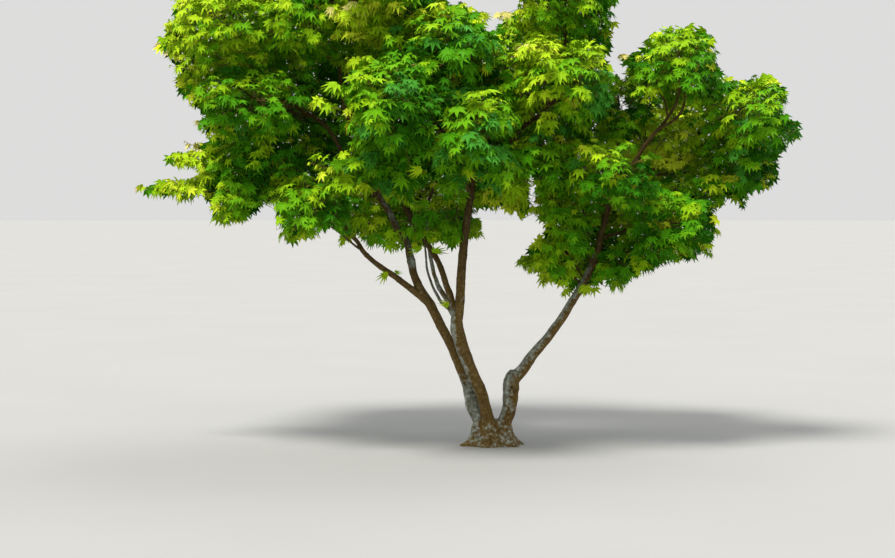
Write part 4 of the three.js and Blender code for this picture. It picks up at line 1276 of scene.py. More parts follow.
def add_sprays(points):
    new = sprays_for(points, filler=True)
    grow_twigs(new)
    for s in new:
        put_leaves(s)
    sprays.extend(new)


def spread_over(n):
    return np.array([(i, j, n - i - j) for i in range(n + 1) for j in range(n + 1 - i)]) / n


DENSE = [np.einsum("kc,fcx->fkx", spread_over(8 if len(faces) < 12 else 5), shape[faces]).reshape(-1, 3) for shape, faces, uv in SHAPES]
HALF = (2 * 330, 2 * 720)  # a map of half pixels, from pixel (110, -6)


def half_cells(px):
    return np.floor((px[..., 0] - 110) * 2).astype(int), np.floor((px[..., 1] + 6) * 2).astype(int)


def pinholes():
    """Half pixels through which the camera sees past leaves and limbs."""
    hidden = np.zeros(HALF, bool)
    arrays = leaf_arrays()
    keep = np.nonzero(kept_leaves(arrays))[0]
    at, x, y, z, size, tint, form = arrays[:7]
    for n, dense in enumerate(DENSE):
        mine = keep[form[keep] == n]
        for start in range(0, len(mine), 2500):
            i = mine[start : start + 2500]
            local = dense * size[i][:, None, None]
            p = at[i][:, None] + local[..., 0:1] * x[i][:, None] + local[..., 1:2] * y[i][:, None] + local[..., 2:3] * z[i][:, None]
            u, v = half_cells(pixel_of(p.reshape(-1, 3)))
            for du in (0, 1):
                for dv in (0, 1):
                    ok = (u + du >= 0) & (u + du < HALF[1]) & (v + dv >= 0) & (v + dv < HALF[0])
                    hidden[v[ok] + dv, u[ok] + du] = True
    hidden[:-1, :-1] &= hidden[1:, :-1] & hidden[:-1, 1:] & hidden[1:, 1:]
    for kind, family, nodes, name in limbs:
        if kind not in ("showing", "bough"):
            continue
        p = pos[nodes]
        p = np.concatenate([p, (p[1:] + p[:-1]) / 2])
        r = fixed_r[nodes]
        r = np.concatenate([r, (r[1:] + r[:-1]) / 2])
        u, v = half_cells(pixel_of(p))
        wide = np.nan_to_num(r, nan=0.001) * FOCAL_PX / (p[:, 1] - EYE[1]) * 2
        for k in range(len(p)):
            n = int(wide[k])
            hidden[max(v[k] - n, 0) : max(v[k] + n + 1, 0), max(u[k] - n, 0) : max(u[k] + n + 1, 0)] = True
    region = ~swelled(AIR, 3)[LIFT - 6 : LIFT - 6 + 330, 110:830]
    region = np.repeat(np.repeat(region, 2, 0), 2, 1)
    return region & ~hidden


def leaf_layers():
    """How many leaves lie one behind another at each half pixel."""
    cells = HALF[0] * HALF[1]
    layers = np.zeros(cells)
    arrays = leaf_arrays()
    keep = np.nonzero(kept_leaves(arrays))[0]
    at, x, y, z, size, tint, form = arrays[:7]
    for n, dense in enumerate(DENSE):
        mine = keep[form[keep] == n]
        for start in range(0, len(mine), 2500):
            i = mine[start : start + 2500]
            local = dense * size[i][:, None, None]
            p = at[i][:, None] + local[..., 0:1] * x[i][:, None] + local[..., 1:2] * y[i][:, None] + local[..., 2:3] * z[i][:, None]
            u, v = half_cells(pixel_of(p))
            ok = (u >= 0) & (u < HALF[1]) & (v >= 0) & (v < HALF[0])
            key = (np.arange(len(i))[:, None] * cells + v * HALF[1] + u)[ok]
            layers += np.bincount(np.unique(key) % cells, minlength=cells)
    layers = layers.reshape(HALF)
    for axis in (0, 1):
        layers = sum(np.roll(layers, k, axis) for k in (-2, -1, 0, 1, 2)) / 5
    return layers


def patch_pinholes(least, most, thin=0.0):
    """One more leaf on the nearest shoot before each gap the camera sees through, or
    behind each place where fewer leaves than thin lie one behind another."""
    if thin:
        inside = ~swelled(AIR, 7)[LIFT - 6 : LIFT - 6 + 330, 110:830]
        lack = np.clip(thin - leaf_layers(), 0, None) * np.repeat(np.repeat(inside, 2, 0), 2, 1)
    else:
        lack = pinholes().astype(float)
    vv, uu = np.nonzero(lack)
    share = lack[vv, uu]
    bw = HALF[1] // 6 + 1
    number = (vv // 6) * bw + uu // 6
    count = np.bincount(number, weights=share)
    mean_u = np.bincount(number, weights=uu * share) / np.maximum(count, 1e-9) / 2 + 110.25
    mean_v = np.bincount(number, weights=vv * share) / np.maximum(count, 1e-9) / 2 - 5.75
    order = [n for n in np.argsort(-count, kind="stable") if count[n] >= least]
    arrays = leaf_arrays()
    keep = kept_leaves(arrays)
    alive = np.unique(arrays[8][keep & (arrays[8] >= 0)])
    feet = np.array([(*ordered[n]["points"][k], n, k) for n in alive for k in range(1, len(ordered[n]["points"]))])
    feet_px = pixel_of(feet[:, :3])
    centres = []
    for n in order:
        c = np.array([mean_u[n], mean_v[n]])
        if centres and (np.abs(np.array(centres) - c).max(1) < 5).any():
            continue
        far = np.linalg.norm(feet_px - c, axis=1)
        near = np.nonzero(far < 11)[0]
        if not len(near):
            near = np.nonzero(far < 20)[0]
        if not len(near):
            continue
        least_y = max([y_at + 0.03 for line, width, y_at in WINDOWS if span_from(c[None], line)[0] < width + 9], default=-9.0)
        behind = near[feet[near, 1] > least_y]
        behind = behind if len(behind) else near
        if thin:
            behind = behind[feet[behind, 1] >= np.quantile(feet[behind, 1], 0.55)]
        k = int(rng.choice(behind))
        foot, y_mid = feet[k, :3], max(feet[k, 1], least_y)
        middle = at_pixel(c[0], c[1], y_mid + rng.normal(0, 0.004))
        size = LEAF * (rng.uniform(1.0, 1.18) if thin else rng.uniform(0.78, 1.02))
        y = unit(middle - foot + 1e-6) * 0.5 + np.array([0.0, 0.0, -0.6]) + rng.normal(0, 0.22, 3)
        y[1] *= 0.4
        y = unit(y)
        base = middle - y * size * 0.34
        nrm = np.array([0.0, -1.0, 0.45]) + rng.normal(0, 0.32, 3)
        nrm = unit(nrm - (nrm @ y) * y)
        # tints of the new leaves: behind thin places mostly dark, painted shade of the crown's inside, with yellow and
        # glow ones painting light that comes through; before gaps light ones, painted glints
        if thin:
            tint = rng.choice(["deep", "shade", "green", "fresh", "yellow", "glow"], p=[0.13, 0.26, 0.20, 0.14, 0.12, 0.15])
        else:
            tint = rng.choice(["green", "fresh", "lime", "bright", "yellow"], p=[0.12, 0.28, 0.27, 0.22, 0.11])
        leaves.append((base, np.cross(y, nrm), y, nrm, size, TINT_NAMES.index(tint), int(rng.integers(FULL_FORMS, HANGING)), 2, int(feet[k, 3]), int(feet[k, 4])))
        stalks.append((foot, base))
        centres.append(c)
        if len(centres) >= most:
            break
    print("thin" if thin else "pinholes", round(float(lack.sum())) // 4, "px, patched", len(centres))


def find_strays():
    """Sprays whose twigs cross the open air before the camera."""
    gone = looked_up(~swelled(~AIR, 2), pixel_of(pos[:used]))
    twiggy = np.zeros(used, bool)
    for kind, family, nodes, name in limbs:
        if kind in ("branch", "twig"):
            twiggy[nodes[1:]] = True
    gone &= twiggy
    for i in range(used):
        if twiggy[i] and par[i] >= 0 and gone[par[i]]:
            gone[i] = True
    ends = np.array([(s["from"][1][-1] if s["from"][1] else s["from"][0]) for s in ordered])
    out = gone[ends] & ~np.array([s["special"] for s in ordered])
    print("strays", int(out.sum()))
    return out


def cover_limbs():
    """Sprays before the boughs that the leaves should hide from the camera."""
    p = leaf_points()
    q = np.floor(pixel_of(p) - 0.5).astype(int)
    nearest = np.full((960, 950), 1e9)
    for du in (0, 1):
        for dv in (0, 1):
            u, v = q[:, 0] + du, q[:, 1] + dv + 300
            ok = (u >= 0) & (u < 950) & (v >= 0) & (v < 960)
            np.minimum.at(nearest, (v[ok], u[ok]), p[ok, 1])
    ids = np.array(sorted({n for kind, family, nodes, name in limbs if kind in ("bough", "branch") for n in nodes[1:]}))
    b = pos[ids]
    px = pixel_of(b)
    open_here = nearest[np.clip(px[:, 1].astype(int) + 300, 0, 959), np.clip(px[:, 0].astype(int), 0, 949)] > b[:, 1]
    open_here &= near_leaves[cell_of(b)] & looked_up(INNER, px)
    for line, width, y_at in WINDOWS:
        open_here &= span_from(px, line) > width + 3
    for line, width in OPENINGS:
        open_here &= span_from(px, line) > width + 5
    spots = []
    for n in np.nonzero(open_here)[0]:
        spot = b[n] + np.array([0.0, -rng.uniform(0.028, 0.055), 0.006])
        if all(np.linalg.norm(spot - o) > 0.036 for o in spots):
            spots.append(spot)
    print("limbs to cover", int(open_here.sum()), "new", len(spots))
    if spots:
        add_sprays(np.array(spots))


sprays = sprays_for(spray_at) + special_sprays() + veil_sprays()
grow_twigs(sprays)
for s in sprays:
    put_leaves(s)
print("branches", len(branch_ends), "sprays", len(sprays), "leaves", len(leaves))
put_singles()
cover_limbs()
fill_gaps(None, 0, 4, 3, 260)
fill_gaps(None, 0, 4, 2, 200)
fill_gaps(None, 0, 3, 2, 160)
for azimuth, rise in ((45, 22), (225, 14), (90, 3), (0, 60), (180, 10), (135, 15), (315, 15), (270, 10)):
    fill_gaps(azimuth, rise, 6, 7, 60, inset=12)
stray = find_strays()
for k in range(3):
    patch_pinholes(12, 900, thin=3.1)
patch_pinholes(4, 900)
patch_pinholes(3, 600)
patch_pinholes(2, 400)
print("nodes", used, "limbs", len(limbs), "sprays", len(sprays), "leaves", len(leaves))

# ---------------------------------------------------------------- how thick the wood is
POWER = 2.35
all_arrays = leaf_arrays()
leaf_keep = kept_leaves(all_arrays)
last_place = np.full(len(ordered), -1)
np.maximum.at(last_place, all_arrays[8][leaf_keep & (all_arrays[8] >= 0)], all_arrays[9][leaf_keep & (all_arrays[8] >= 0)])
load = np.zeros(MOST)
for s, last in zip(ordered, last_place):
    if last < 0:
        continue
    q, made = s["from"]
    load[made[-1] if made else q] += 1.0
for i in range(used - 1, -1, -1):
    if par[i] >= 0:
        load[par[i]] += load[i]
radius = TIP_R * np.maximum(load[:used], 0.4) ** (1 / POWER)
given = ~np.isnan(fixed_r[:used])
radius[given] = fixed_r[:used][given]
for kind, family, nodes, name in limbs:
    if kind in ("branch", "twig"):
        cap = 0.8 * radius[nodes[0]]
        for k in nodes[1:]:
            radius[k] = min(radius[k], cap)
            cap = radius[k]

# ---------------------------------------------------------------- materials
def srgb(r, g, b):
    c = np.array([r, g, b], float) / 255.0
    c = np.where(c <= 0.04045, c / 12.92, ((c + 0.055) / 1.055) ** 2.4)
    return (float(c[0]), float(c[1]), float(c[2]), 1.0)


def material(name):
    m = bpy.data.materials.new(name)
    m.use_nodes = True
    nt = m.node_tree
    return m, nt, nt.nodes, nt.links, nt.nodes["Principled BSDF"]


def leaf_material(name, colour, rough=0.5):
    m, nt, nodes, links, bsdf = material(name)
    bsdf.inputs["Base Color"].default_value = srgb(*colour)
    bsdf.inputs["Specular IOR Level"].default_value = 0.07
    uv = nodes.new("ShaderNodeUVMap")
    uv.uv_map = "leaf"
    parts = nodes.new("ShaderNodeSeparateXYZ")
    links.new(uv.outputs["UV"], parts.inputs["Vector"])
    # side veins run out and forward from each lobe's midrib
    slant = nodes.new("ShaderNodeMath"); slant.operation = "MULTIPLY_ADD"
    slant.inputs[1].default_value = -0.55
    links.new(parts.outputs["X"], slant.inputs[0])
    links.new(parts.outputs["Y"], slant.inputs[2])
    wave = nodes.new("ShaderNodeMath"); wave.operation = "MULTIPLY"
    wave.inputs[1].default_value = 46.0
    links.new(slant.outputs[0], wave.inputs[0])
    vein = nodes.new("ShaderNodeMath"); vein.operation = "SINE"
    links.new(wave.outputs[0], vein.inputs[0])
    rib = nodes.new("ShaderNodeMapRange")
    rib.inputs["From Min"].default_value = 0.0
    rib.inputs["From Max"].default_value = 0.16
    rib.inputs["To Min"].default_value = -2.2
    rib.inputs["To Max"].default_value = 0.0
    links.new(parts.outputs["X"], rib.inputs["Value"])
    height = nodes.new("ShaderNodeMath"); height.operation = "MULTIPLY_ADD"
    height.inputs[1].default_value = 0.35
    links.new(vein.outputs[0], height.inputs[0])
    links.new(rib.outputs[0], height.inputs[2])
    bump = nodes.new("ShaderNodeBump")
    bump.inputs["Strength"].default_value = 0.35
    bump.inputs["Distance"].default_value = 0.0004
    links.new(height.outputs[0], bump.inputs["Height"])
    links.new(bump.outputs["Normal"], bsdf.inputs["Normal"])
    tex = nodes.new("ShaderNodeTexNoise")
    tex.inputs["Scale"].default_value = 90.0
    tex.inputs["Detail"].default_value = 2.0
    coord = nodes.new("ShaderNodeTexCoord")
    links.new(coord.outputs["Object"], tex.inputs["Vector"])
    shine = nodes.new("ShaderNodeMapRange")
    shine.inputs["To Min"].default_value = rough - 0.1
    shine.inputs["To Max"].default_value = rough + 0.14
    links.new(tex.outputs["Fac"], shine.inputs["Value"])
    links.new(shine.outputs[0], bsdf.inputs["Roughness"])
    return m


def twig_material(name, colour, rough=0.6, scale=260.0):
    m, nt, nodes, links, bsdf = material(name)
    bsdf.inputs["Base Color"].default_value = srgb(*colour)
    bsdf.inputs["Specular IOR Level"].default_value = 0.3
    coord = nodes.new("ShaderNodeTexCoord")
    tex = nodes.new("ShaderNodeTexNoise")
    tex.inputs["Scale"].default_value = scale
    tex.inputs["Detail"].default_value = 3.0
    links.new(coord.outputs["Object"], tex.inputs["Vector"])
    rr = nodes.new("ShaderNodeMapRange")
    rr.inputs["To Min"].default_value = rough - 0.12
    rr.inputs["To Max"].default_value = rough + 0.18
    links.new(tex.outputs["Fac"], rr.inputs["Value"])
    links.new(rr.outputs[0], bsdf.inputs["Roughness"])
    bump = nodes.new("ShaderNodeBump")
    bump.inputs["Strength"].default_value = 0.5
    bump.inputs["Distance"].default_value = 0.0005
    links.new(tex.outputs["Fac"], bump.inputs["Height"])
    links.new(bump.outputs["Normal"], bsdf.inputs["Normal"])
    return m


def bark_material(name):
    m, nt, nodes, links, bsdf = material(name)
    bsdf.inputs["Specular IOR Level"].default_value = 0.25
    coord = nodes.new("ShaderNodeTexCoord")
    grain = nodes.new("ShaderNodeAttribute"); grain.attribute_name = "grain"
    lichen = nodes.new("ShaderNodeAttribute"); lichen.attribute_name = "lichen"
    old = nodes.new("ShaderNodeAttribute"); old.attribute_name = "old"

    def noise(vector, scale, detail=3.0, rough=0.55):
        t = nodes.new("ShaderNodeTexNoise")
        t.inputs["Scale"].default_value = scale
        t.inputs["Detail"].default_value = detail
        t.inputs["Roughness"].default_value = rough
        links.new(vector, t.inputs["Vector"])
        return t.outputs["Fac"]

    def ramp(value, *stops):
        r = nodes.new("ShaderNodeValToRGB")
        els = r.color_ramp.elements
        while len(els) < len(stops):
            els.new(0.5)
        for e, (at, colour) in zip(els, stops):
            e.position = at
            e.color = colour if len(colour) == 4 else srgb(*colour)
        links.new(value, r.inputs["Fac"])
        return r.outputs["Color"]

    def mix(fac, a, b, kind="MIX"):
        x = nodes.new("ShaderNodeMix")
        x.data_type = "RGBA"
        x.blend_type = kind
        if isinstance(fac, float):
            x.inputs["Factor"].default_value = fac
        else:
            links.new(fac, x.inputs["Factor"])
        for socket, v in (("A", a), ("B", b)):
            target = [i for i in x.inputs if i.name == socket and i.type == "RGBA"][0]
            if isinstance(v, tuple):
                target.default_value = v
            else:
                links.new(v, target)
        return [o for o in x.outputs if o.type == "RGBA"][0]

    def math_node(op, a, b=None, c=None):
        x = nodes.new("ShaderNodeMath")
        x.operation = op
        for k, v in enumerate((a, b, c)):
            if v is None:
                continue
            if isinstance(v, (int, float)):
                x.inputs[k].default_value = v
            else:
                links.new(v, x.inputs[k])
        return x.outputs[0]

    streaks = noise(grain.outputs["Vector"], 3.2, 4.0, 0.6)
    patches = noise(coord.outputs["Object"], 34.0, 3.0)
    fine = noise(coord.outputs["Object"], 420.0, 3.0)
    mottle = noise(coord.outputs["Object"], 96.0, 2.5, 0.6)
    flakes = noise(grain.outputs["Vector"], 9.0, 3.0, 0.6)
    brown = ramp(streaks, (0.30, (58, 40, 12)), (0.5, (98, 75, 26)), (0.70, (132, 106, 46)))
    brown = mix(0.42, brown, ramp(patches, (0.36, (58, 46, 13)), (0.5, (104, 73, 26)), (0.64, (128, 110, 52))))
    brown = mix(0.45, brown, ramp(mottle, (0.34, (48, 35, 10)), (0.5, (94, 73, 28)), (0.66, (144, 124, 74))))
    brown = mix(0.30, brown, ramp(flakes, (0.38, (52, 38, 12)), (0.62, (136, 113, 60))))
    grey = ramp(mottle, (0.34, (70, 76, 60)), (0.46, (104, 110, 94)), (0.55, (132, 137, 124)), (0.66, (186, 189, 176)))
    grey = mix(0.35, grey, ramp(patches, (0.34, (84, 88, 70)), (0.66, (150, 154, 142))))
    grey = mix(0.30, grey, ramp(fine, (0.35, (70, 76, 60)), (0.7, (180, 182, 166))))
    edge = math_node("ADD", lichen.outputs["Fac"], math_node("MULTIPLY", math_node("SUBTRACT", patches, 0.5), 1.1))
    edge = math_node("ADD", edge, math_node("MULTIPLY", math_node("SUBTRACT", mottle, 0.5), 1.3))
    cover = nodes.new("ShaderNodeMapRange")
    cover.inputs["From Min"].default_value = 0.38
    cover.inputs["From Max"].default_value = 0.66
    links.new(edge, cover.inputs["Value"])
    colour = mix(cover.outputs[0], brown, grey)
    crust = nodes.new("ShaderNodeMapRange")
    crust.inputs["From Min"].default_value = 0.92
    crust.inputs["From Max"].default_value = 1.10
    links.new(edge, crust.inputs["Value"])
    colour = mix(math_node("MULTIPLY", crust.outputs[0], 0.75), colour, srgb(184, 188, 178))
    # pale specks, some here and some there
    cellular = nodes.new("ShaderNodeTexVoronoi")
    cellular.inputs["Scale"].default_value = 165.0
    links.new(coord.outputs["Object"], cellular.inputs["Vector"])
    speck = nodes.new("ShaderNodeMapRange")
    speck.inputs["From Min"].default_value = 0.26
    speck.inputs["From Max"].default_value = 0.14
    links.new(cellular.outputs["Distance"], speck.inputs["Value"])
    chance = nodes.new("ShaderNodeSeparateColor")
    links.new(cellular.outputs["Color"], chance.inputs["Color"])
    some = math_node("GREATER_THAN", chance.outputs[0], 0.70)
    colour = mix(math_node("MULTIPLY", math_node("MULTIPLY", speck.outputs[0], some), 0.6), colour, srgb(170, 164, 138))
    # painted shade: the bark darkens inside the crown, higher up the limbs and in the hollows; on the scars it is also
    # their own darker bark
    colour = mix(old.outputs["Fac"], colour, srgb(34, 24, 3))
    links.new(colour, bsdf.inputs["Base Color"])
    bump = nodes.new("ShaderNodeBump")
    bump.inputs["Strength"].default_value = 0.6
    bump.inputs["Distance"].default_value = 0.0014
    height = math_node("ADD", math_node("MULTIPLY", streaks, 0.8), math_node("MULTIPLY", fine, 0.4))
    height = math_node("ADD", height, math_node("MULTIPLY", mottle, 0.9))
    height = math_node("ADD", height, math_node("MULTIPLY", flakes, 0.6))
    height = math_node("ADD", height, math_node("MULTIPLY", cover.outputs[0], 0.35))
    links.new(height, bump.inputs["Height"])
    links.new(bump.outputs["Normal"], bsdf.inputs["Normal"])
    rr = nodes.new("ShaderNodeMapRange")
    rr.inputs["To Min"].default_value = 0.62
    rr.inputs["To Max"].default_value = 0.92
    links.new(fine, rr.inputs["Value"])
    links.new(rr.outputs[0], bsdf.inputs["Roughness"])
    return m


BARK = bark_material("bark")

# ---------------------------------------------------------------- stems and boughs that show
pile = Pile()


def uneven(phase, amount):
    def f(n, angle):
        i = np.arange(n)[:, None]
        return 1 + amount * (np.sin(3 * angle[None, :] + i * 0.21 + phase) * 0.6 + np.sin(2 * angle[None, :] - i * 0.13 + phase * 2) * 0.4 + 0.35 * np.sin(i * 0.9 + phase * 3))
    return f


centre_points, centre_along, centre_r, centre_name, centre_a, centre_b = [], [], [], [], [], []
for number, (name, (family, rows)) in enumerate(SHOWING.items()):
    p, r = smooth_path(np.array(rows, float) / 1000.0, 0.006)
    v, t, g = tube(p, r, 22, swell=uneven(number * 1.7, 0.045))
    pile.add(v, t)
    tangent, a, b = frames_along(p)
    along = np.concatenate([[0], np.cumsum(np.linalg.norm(np.diff(p, axis=0), axis=1))])
    centre_points.append(p); centre_along.append(along); centre_r.append(r)
    centre_name += [name] * len(p); centre_a.append(a); centre_b.append(b)
p, r = smooth_path(np.array(STUB, float) / 1000.0, 0.005)
v, t, g = tube(p, r, 20, swell=uneven(0.4, 0.05))
pile.add(v, t)

rings = []
sides = 72
angle = np.arange(sides) / sides * 2 * math.pi
top = ROOT_RINGS[-1][0]
levels = np.concatenate([[-14], np.arange(0, top + 0.1, 3.5)])
table = np.array(ROOT_RINGS, float)
for z in levels:
    x, y, wide_r, deep_r = (np.interp(max(z, 0), table[:, 0], table[:, k]) for k in (1, 2, 3, 4))
    h = 1 - max(z, 0) / top
    o = np.full(sides, 1 - BUTTRESS_STAND * 0.4 * h)
    for bdir in BUTTRESSES:
        off = np.arctan2(np.sin(angle - bdir), np.cos(angle - bdir))
        o += BUTTRESS_STAND * h**2 * np.exp(-((off / 0.26) ** 2))
    rings.append(np.stack([x + np.cos(angle) * wide_r * o, y + np.sin(angle) * deep_r * o, np.full(sides, z)], 1) / 1000.0)
rings = np.array(rings)
n = len(rings)
v = rings.reshape(-1, 3)
i = np.arange(n - 1)[:, None] * sides
j = np.arange(sides)[None, :]
k = (j + 1) % sides
t = np.stack([i + j, i + k, i + k + sides, i + j, i + k + sides, i + j + sides], -1).reshape(-1, 3)
v = np.concatenate([v, [rings[0].mean(0)], [rings[-1].mean(0)]])
jj = np.arange(sides)
t = np.concatenate([t, np.stack([np.full(sides, n * sides), (jj + 1) % sides, jj], 1), np.stack([np.full(sides, n * sides + 1), (n - 1) * sides + jj, (n - 1) * sides + (jj + 1) % sides], 1)])
pile.add(v, t)

v, t, _ = pile.joined()
rough_ob = new_mesh("rough_limbs", v, t)
mod = rough_ob.modifiers.new("even", "REMESH")
mod.mode = "VOXEL"
mod.voxel_size = 0.0027
mod.adaptivity = 0.0
deps = bpy.context.evaluated_depsgraph_get()
fine_mesh = bpy.data.meshes.new_from_object(rough_ob.evaluated_get(deps))
bpy.data.objects.remove(rough_ob)

co = np.zeros(len(fine_mesh.vertices) * 3, np.float32)
fine_mesh.vertices.foreach_get("co", co)
co = co.reshape(-1, 3).astype(float)
edges = np.zeros(len(fine_mesh.edges) * 2, np.int32)
fine_mesh.edges.foreach_get("vertices", edges)
edges = edges.reshape(-1, 2)
degree = np.bincount(edges.ravel(), minlength=len(co)).astype(float)[:, None]


def relaxed(x, amount):
    s = np.zeros_like(x)
    np.add.at(s, edges[:, 0], x[edges[:, 1]])
    np.add.at(s, edges[:, 1], x[edges[:, 0]])
    return x + amount * (s / np.maximum(degree, 1) - x)


for _ in range(4):
    co = relaxed(co, 0.6)
    co = relaxed(co, -0.52)

C = np.concatenate(centre_points)
C_along, C_r = np.concatenate(centre_along), np.concatenate(centre_r)
C_a, C_b = np.concatenate(centre_a), np.concatenate(centre_b)
C_name = np.array(centre_name)
kd = KDTree(len(C))
for i, c in enumerate(C):
    kd.insert(Vector(c), i)
kd.balance()
near = np.array([kd.find(Vector(c))[1] for c in co])
off = co - C[near]
x_a, x_b = np.einsum("ij,ij->i", off, C_a[near]), np.einsum("ij,ij->i", off, C_b[near])
theta = np.arctan2(x_b, x_a)
along = C_along[near]
limb_id = np.unique(C_name, return_inverse=True)[1][near]
grain = np.stack([np.cos(theta) * 1.6 + limb_id * 5, np.sin(theta) * 1.6, along * 9.0], 1)

fine_mesh.vertices.foreach_set("co", co.astype(np.float32).ravel())
fine_mesh.update()
nor = np.zeros(len(co) * 3, np.float32)
fine_mesh.vertices.foreach_get("normal", nor)
nor = nor.reshape(-1, 3).astype(float)

stem_like = np.isin(C_name[near], ["stem_left", "stem_middle", "stem_right", "stem_right_foot"])
size_here = np.clip(C_r[near] / 0.018, 0.25, 1.2)
lump = noise_at(co, 26.0, 3.0) * 0.0011 * size_here
roots = np.clip(1 - co[:, 2] / 0.085, 0, 1) ** 0.7
lump = lump + roots * (noise_at(co * np.array([1.0, 1.0, 0.45]), 34.0, 31.0) * 0.0042 + noise_at(co, 90.0, 37.0) * 0.0012)
ridge = noise_at(grain * np.array([1.6, 1.6, 1.0]), 1.0, 9.0, 3) * 0.0009 * size_here
crust = noise_at(co, 150.0, 17.0) * 0.00035
push = lump + ridge + crust
# old leaf-pair rings round the boughs
for limb_name, spots in {
    "bough_middle_upright": [0.075, 0.145, 0.215, 0.285, 0.35, 0.41],
    "bough_left_upright": [0.055, 0.125, 0.20, 0.27, 0.34],
    "bough_left_low": [0.05, 0.12, 0.19, 0.25],
    "bough_middle_left": [0.06, 0.14, 0.22, 0.29],
    "bough_pale": [0.05, 0.12, 0.19, 0.26, 0.33],
    "stem_right": [0.08, 0.19, 0.30, 0.38],
    "stem_left": [0.13, 0.25, 0.36],
    "stem_middle": [0.15, 0.27],
}.items():
    on = C_name[near] == limb_name
    for s in spots:
        push = push + on * 0.0009 * np.exp(-(((along - s) / 0.0035) ** 2))

# knobs, hollows and scars: place, reach, height and how dark. The dark is painted shade in the hollows, and on the scar
# partly its own darker bark.
FEATURES = [
    ((-0.244, 0.034, 0.552), 0.014, 0.0045, 0.0),  # pale knob on the left upright bough
    ((-0.106, -0.036, 0.441), 0.010, 0.0022, 0.0),
    (at_pixel(512.2, 373.4, -0.020), 0.0055, -0.0040, 0.80),  # small hollow in the crook
    (at_pixel(509.8, 375.5, -0.020), 0.0060, 0.0026, 0.0),  # ridge down from it
    (at_pixel(508.4, 380.0, -0.024), 0.0060, 0.0028, 0.0),
    (at_pixel(507.3, 385.0, -0.026), 0.0060, 0.0022, 0.0),
    (at_pixel(511.6, 388.2, -0.028), 0.0080, -0.0045, 0.80),  # the scar
    (at_pixel(515.4, 391.4, -0.026), 0.0090, -0.0040, 0.75),
    (at_pixel(519.2, 388.5, -0.010), 0.0110, 0.0042, 0.0),
    (at_pixel(505.0, 399.0, -0.020), 0.0100, 0.0020, 0.0),
    (at_pixel(530.0, 352.0, -0.010), 0.0100, 0.0018, 0.0),
    (at_pixel(548.0, 328.0, -0.008), 0.0100, 0.0018, 0.0),
    (at_pixel(452.0, 330.0, -0.030), 0.0110, 0.0022, 0.0),
    (at_pixel(466.0, 392.0, 0.010), 0.0120, 0.0024, 0.0),
    (at_pixel(479.0, 392.0, -0.036), 0.0100, 0.0020, 0.0),
    (at_pixel(446.0, 338.0, 0.016), 0.0100, 0.0018, 0.0),
]
PALE = [  # place, reach and amount of whitish crust
    (at_pixel(517.0, 370.0, -0.018), 0.012, 0.55),
    (at_pixel(508.6, 380.0, -0.022), 0.007, 0.45),
    (at_pixel(513.5, 410.0, -0.024), 0.010, 0.45),
    (at_pixel(505.0, 392.0, -0.020), 0.011, 0.25),
    (at_pixel(524.0, 360.0, -0.014), 0.010, 0.35),
    (at_pixel(535.0, 345.0, -0.012), 0.011, 0.35),
    (at_pixel(541.0, 335.0, -0.012), 0.010, 0.45),
    (at_pixel(556.0, 314.0, -0.010), 0.012, 0.30),
    (at_pixel(453.0, 322.0, -0.028), 0.010, 0.50),
    (at_pixel(452.5, 332.0, -0.028), 0.010, 0.50),
    (at_pixel(455.0, 338.0, -0.028), 0.008, 0.40),
    (at_pixel(464.0, 386.0, 0.010), 0.010, 0.35),
    (at_pixel(470.0, 396.0, 0.010), 0.012, 0.35),
    (at_pixel(393.0, 214.0, 0.075), 0.018, 0.60),
    (at_pixel(412.0, 262.0, 0.030), 0.012, 0.45),
    (at_pixel(439.0, 285.0, 0.010), 0.016, 0.45),
    (at_pixel(431.0, 262.0, 0.040), 0.020, 0.35),
]
old = np.zeros(len(co))
# the hollows are darkened with painted shade, the scars also with their own darker bark
for at, reach, height, dark in FEATURES:
    d2 = ((co - np.array(at)) ** 2).sum(1)
    fall = np.exp(-d2 / (reach**2))
    push = push + height * fall
    old = np.maximum(old, dark * np.exp(-d2 / (0.7 * reach) ** 2))
co = co + nor * push[:, None]

# where grey lichen sits
lichen = np.full(len(co), 0.16)
name_here = C_name[near]
z = co[:, 2]


def band(x, a, b):
    return np.clip((x - a) / (b - a), 0, 1)


sl = name_here == "stem_left"
lichen[sl] = 0.20 + 0.55 * (1 - band(z[sl], 0.17, 0.24))
sm = name_here == "stem_middle"
side_left = np.clip(-nor[:, 0] * 0.9 + 0.1 + nor[:, 1] * 0.2, -0.6, 1)
lichen[sm] = 0.12 + 0.62 * band(z[sm], 0.12, 0.22) * np.clip(side_left[sm] * 1.6, 0, 1) + 0.12 * (1 - band(z[sm], 0.05, 0.12))
bl = np.isin(name_here, ["bough_middle_left"])
lichen[bl] = 0.14 + 0.55 * (1 - band(z[bl], 0.42, 0.46)) * np.clip(side_left[bl] * 1.4 + 0.3, 0, 1)
lu = name_here == "bough_left_upright"
lichen[lu] = 0.16 + 0.5 * band(z[lu], 0.52, 0.56) * np.clip(nor[lu, 0] * 0.6 + 0.5 + nor[lu, 2] * 0.4, 0, 1) + 0.25 * np.exp(-(((z[lu] - 0.552) / 0.02) ** 2))
bp = np.isin(name_here, ["bough_pale", "bough_slender"])
lichen[bp] = 0.62
rf = np.isin(name_here, ["stem_right_foot", "stem_right"])
lichen[rf] = 0.46 + 0.42 * np.clip(-nor[rf, 0] * 0.9 + nor[rf, 2] * 0.6, -0.9, 1)
mu = name_here == "bough_middle_upright"
lichen[mu] = 0.12 + 0.42 * np.exp(-(((z[mu] - 0.44) / 0.007) ** 2))
for at, reach, amount in PALE:
    lichen = lichen + amount * np.exp(-((co - at) ** 2).sum(1) / reach**2)
low = np.clip(1 - z / 0.10, 0, 1)
lichen = lichen * (1 - low) + 0.40 * low
